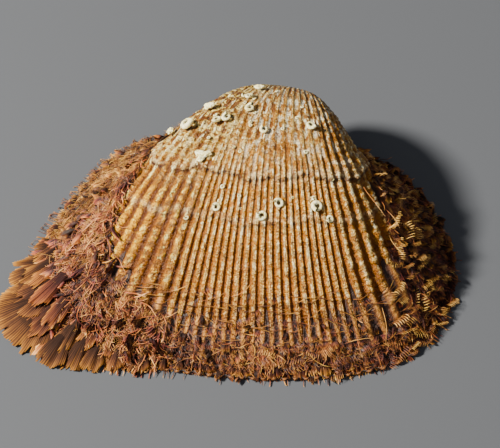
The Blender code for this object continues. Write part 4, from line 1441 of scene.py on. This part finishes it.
fan_horn = horn_finish("horn_fans", 0.70, 0.06, Shade=-0.12, Tips=0.82, Streaks=1.2, Dips=0.34,
                       Patches=0.35)
draw = np.random.default_rng(FAN_SEED)
gather_fans("corner_fans", BIG_FANS, draw)
hem_fans = []
for place in np.arange(*HEM_FAN_PLACES):
    if not BARE_HEM[0] < place < BARE_HEM[1]:
        age = draw.uniform(0.955, 0.985)
        # The small fans at the front, on the right and away from the key light, are made darker:
        # painted shade.
        tint = 0.04 if place < 0.42 else 0.00 if place < 0.7 else -0.08
        hem_fans.append((place + draw.normal(0, 0.004), draw.uniform(0.004, 0.013), age,
                         read_off(HEM_REACH, place) * draw.uniform(0.40, 1.0),
                         draw.uniform(0.15, 0.6), tint + draw.normal(0, 0.14),
                         draw.uniform(0, 0.4)))
gather_fans("hem_fans", hem_fans, draw)

# Worm tubes
# Coiled tubes of white lime, about as wide as a grain of rice is thick, that small worms
# cemented to the ribs. Each coils outwards, thickens and ends in an open mouth.
# Each row: place, age and width in mm
WORM_TUBES = [(0.319, 0.446, 2.3), (0.388, 0.425, 1.3), (0.415, 0.416, 1.4), (0.472, 0.381, 1.5),
              (0.445, 0.336, 1.3), (0.530, 0.440, 1.3), (0.646, 0.416, 1.5), (0.462, 0.625, 1.3),
              (0.544, 0.633, 1.6), (0.572, 0.606, 1.5), (0.639, 0.612, 1.8), (0.657, 0.640, 1.2)]
COIL_TURNS = 1.45
COIL_STEPS = 44
COIL_SIDES = 12
COIL_SEED = 33
# As shares of a coil's width: the tube's radius and the coil's at the start, and their gains
TUBE_RADIUS, TUBE_GAIN = 0.085, 0.080
COIL_RADIUS, COIL_GAIN = 0.17, 0.165
MOUTH_RISE = 0.22                       # how high the mouth lifts
MOUTH_FROM = 0.80                       # share of the tube after which it lifts
SUNK = 0.28                             # mm that they sit lower than the solids' clear gap


def lime_finish():
    """Matt white lime; painted shade makes it cream in its dips and dark inside a tube's mouth and
    on the inner side of each coil.
    """
    f = Finish("white_lime", 0.65)
    fine, mouth = f.noise(4.0, detail=4.0), f.read("mouth")
    # Painted shade: the lime is darker cream where its bump noise dips.
    colour = f.colours(fine, (0.30, 160, 128, 56), (0.44, 236, 218, 140), (0.60, 255, 250, 206))
    # Painted shade: near black inside the mouth and on the coil's inner side.
    colour = f.mix(mouth, colour, srgb(40, 26, 14))
    return f.put(Base_Color=colour, Normal=f.bump(fine, 0.10, 0.9))


def stand(points, node, place, age):
    """Points of a small piece, turned to stand on the shell where its solid is."""
    out, growth, around = shell_axes(place, age)
    low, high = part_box(node)
    middle = (np.array(low) + np.array(high)) / 2 / MM - out * SUNK
    return middle + points @ np.array([around, growth, out])


def coiled_tube(width, draw):
    """Points, faces and mouth mask of one tube, its coil flat in XY; the mask marks painted shade
    in the mouth and on the coil's inner side.
    """
    start, hand = draw.uniform(0, 2 * math.pi), draw.choice([-1, 1])
    share = np.linspace(0, 1, COIL_STEPS)
    angle = start + hand * share * COIL_TURNS * 2 * math.pi
    thick = width * (TUBE_RADIUS + TUBE_GAIN * share) * (1 + 0.06 * np.sin(share * 70))
    reach = width * (COIL_RADIUS + COIL_GAIN * share)
    rise = width * MOUTH_RISE * np.clip((share - MOUTH_FROM) / (1 - MOUTH_FROM), 0, 1) ** 1.5
    line = np.column_stack([reach * np.cos(angle), reach * np.sin(angle), rise])
    along = unit(np.gradient(line, axis=0))
    side = unit(np.cross(along, np.array([0, 0, 1.0])))
    top = np.cross(side, along)
    turn = np.linspace(0, 2 * math.pi, COIL_SIDES, endpoint=False)
    # Each ring: step, radius and how dark its painted shade is. The last ones turn back into the
    # mouth.
    rings = [(k, thick[k], 0.0) for k in range(COIL_STEPS)]
    rings += [(COIL_STEPS - 1, thick[-1] * 0.70, 0.3), (COIL_STEPS - 2, thick[-1] * 0.64, 1.0),
              (COIL_STEPS - 5, thick[-1] * 0.50, 1.0)]
    points, mouth = [], []
    for k, size, dark in rings:
        inward = -line[k] / np.linalg.norm(line[k])
        for b in turn:
            away = math.cos(b) * side[k] + math.sin(b) * top[k]
            points.append(line[k] + size * away)
            # The side of the tube that faces the middle of the coil gets painted shade too.
            mouth.append(max(dark, min(0.9, 2.0 * float(away @ inward) - 0.7)))
    faces = tube_faces(len(rings), COIL_SIDES)
    faces.append(tuple(reversed(range(COIL_SIDES))))
    last = (len(rings) - 1) * COIL_SIDES
    faces.append(tuple(last + i for i in range(COIL_SIDES)))
    return np.array(points), faces, np.array(mouth)


def outwards(made):
    """Turns the faces of a closed piece outwards."""
    shape = bmesh.new()
    shape.from_mesh(made.data)
    bmesh.ops.recalc_face_normals(shape, faces=shape.faces)
    shape.to_mesh(made.data)
    shape.free()


white_lime = lime_finish()
draw = np.random.default_rng(COIL_SEED)
for number, (place, age, width) in enumerate(WORM_TUBES, 1):
    node = "worm_tube_%02d" % number
    points, faces, mouth = coiled_tube(width, draw)
    tube = add_mesh("coil_%02d" % number, stand(points, node, place, age), faces, {"mouth": mouth})
    outwards(tube)
    tube.data.materials.append(white_lime)
    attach(tube, "root")
    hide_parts(node)

# Tiny tubes
# Young worm tubes of the same kind, too small for a solid of their own. They sit low in the
# grooves and on the worn ribs of the beak, where the big ones are.
TINY_TUBES = 34
TINY_SIZE = (0.38, 0.72)                # mm
TINY_SEED = 41

tiny_tubes = []
draw = np.random.default_rng(TINY_SEED)
for number in range(TINY_TUBES):
    place = draw.choice([draw.uniform(0.36, 0.52), draw.uniform(0.40, 0.70)])
    age = draw.uniform(0.26, 0.66)
    points, faces, mouth = coiled_tube(draw.uniform(*TINY_SIZE), draw)
    out, growth, around = shell_axes(place, age)
    raised = rib_height(place, age) * crest_of(place) * 0.8 + 0.06
    foot = grown(edge_point(place), age) + out * raised
    tiny_tubes.append((foot - SHIFT + points @ np.array([around, growth, out]), faces,
                       {"mouth": mouth}))
tiny = add_mesh("tiny_tubes", *gathered(tiny_tubes))
outwards(tiny)
tiny.data.materials.append(white_lime)
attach(tiny, "root")
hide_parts("valve")

# Lime lumps
# Worn scraps of barnacle and tube: lime that other animals cemented to the shell and left
# there, pitted and uneven. They share the tubes' finish.
# Each row: place, age, length, width and height in mm, and how three-cornered it is
LIME_LUMPS = [(0.400, 0.518, 1.9, 1.5, 0.8, 0.30), (0.275, 0.473, 1.4, 1.1, 0.7, 0.05),
              (0.459, 0.288, 1.5, 0.9, 0.6, 0.10), (0.338, 0.385, 1.6, 1.2, 0.7, 0.10)]
LUMP_FINENESS = 5                       # times that its ball is divided

for number, (place, age, length, width, height, corners) in enumerate(LIME_LUMPS, 1):
    node = "lime_lump_%02d" % number
    ball = bmesh.new()
    bmesh.ops.create_icosphere(ball, subdivisions=LUMP_FINENESS, radius=1.0)
    points = []
    for vertex in ball.verts:
        x, y, z = vertex.co
        knob = noise.noise(vertex.co * 2.2 + Vector((number * 7.0, 0, 0)))
        pit = max(0.0, noise.noise(vertex.co * 5.0 + Vector((0, number * 5.0, 0))) - 0.15)
        swell = 1 + corners * math.cos(3 * math.atan2(y, x) + 1.6) * math.hypot(x, y)
        swell = swell * (0.92 + 0.30 * knob - 0.45 * pit)
        points.append((x * swell * length / 2, y * swell * width / 2, z * swell * height / 2))
    faces = [tuple(v.index for v in face.verts) for face in ball.faces]
    ball.free()
    lump = add_mesh("lump_%02d" % number, stand(np.array(points), node, place, age), faces,
                    {"mouth": np.zeros(len(points))})
    outwards(lump)
    lump.data.materials.append(white_lime)
    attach(lump, "root")
    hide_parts(node)
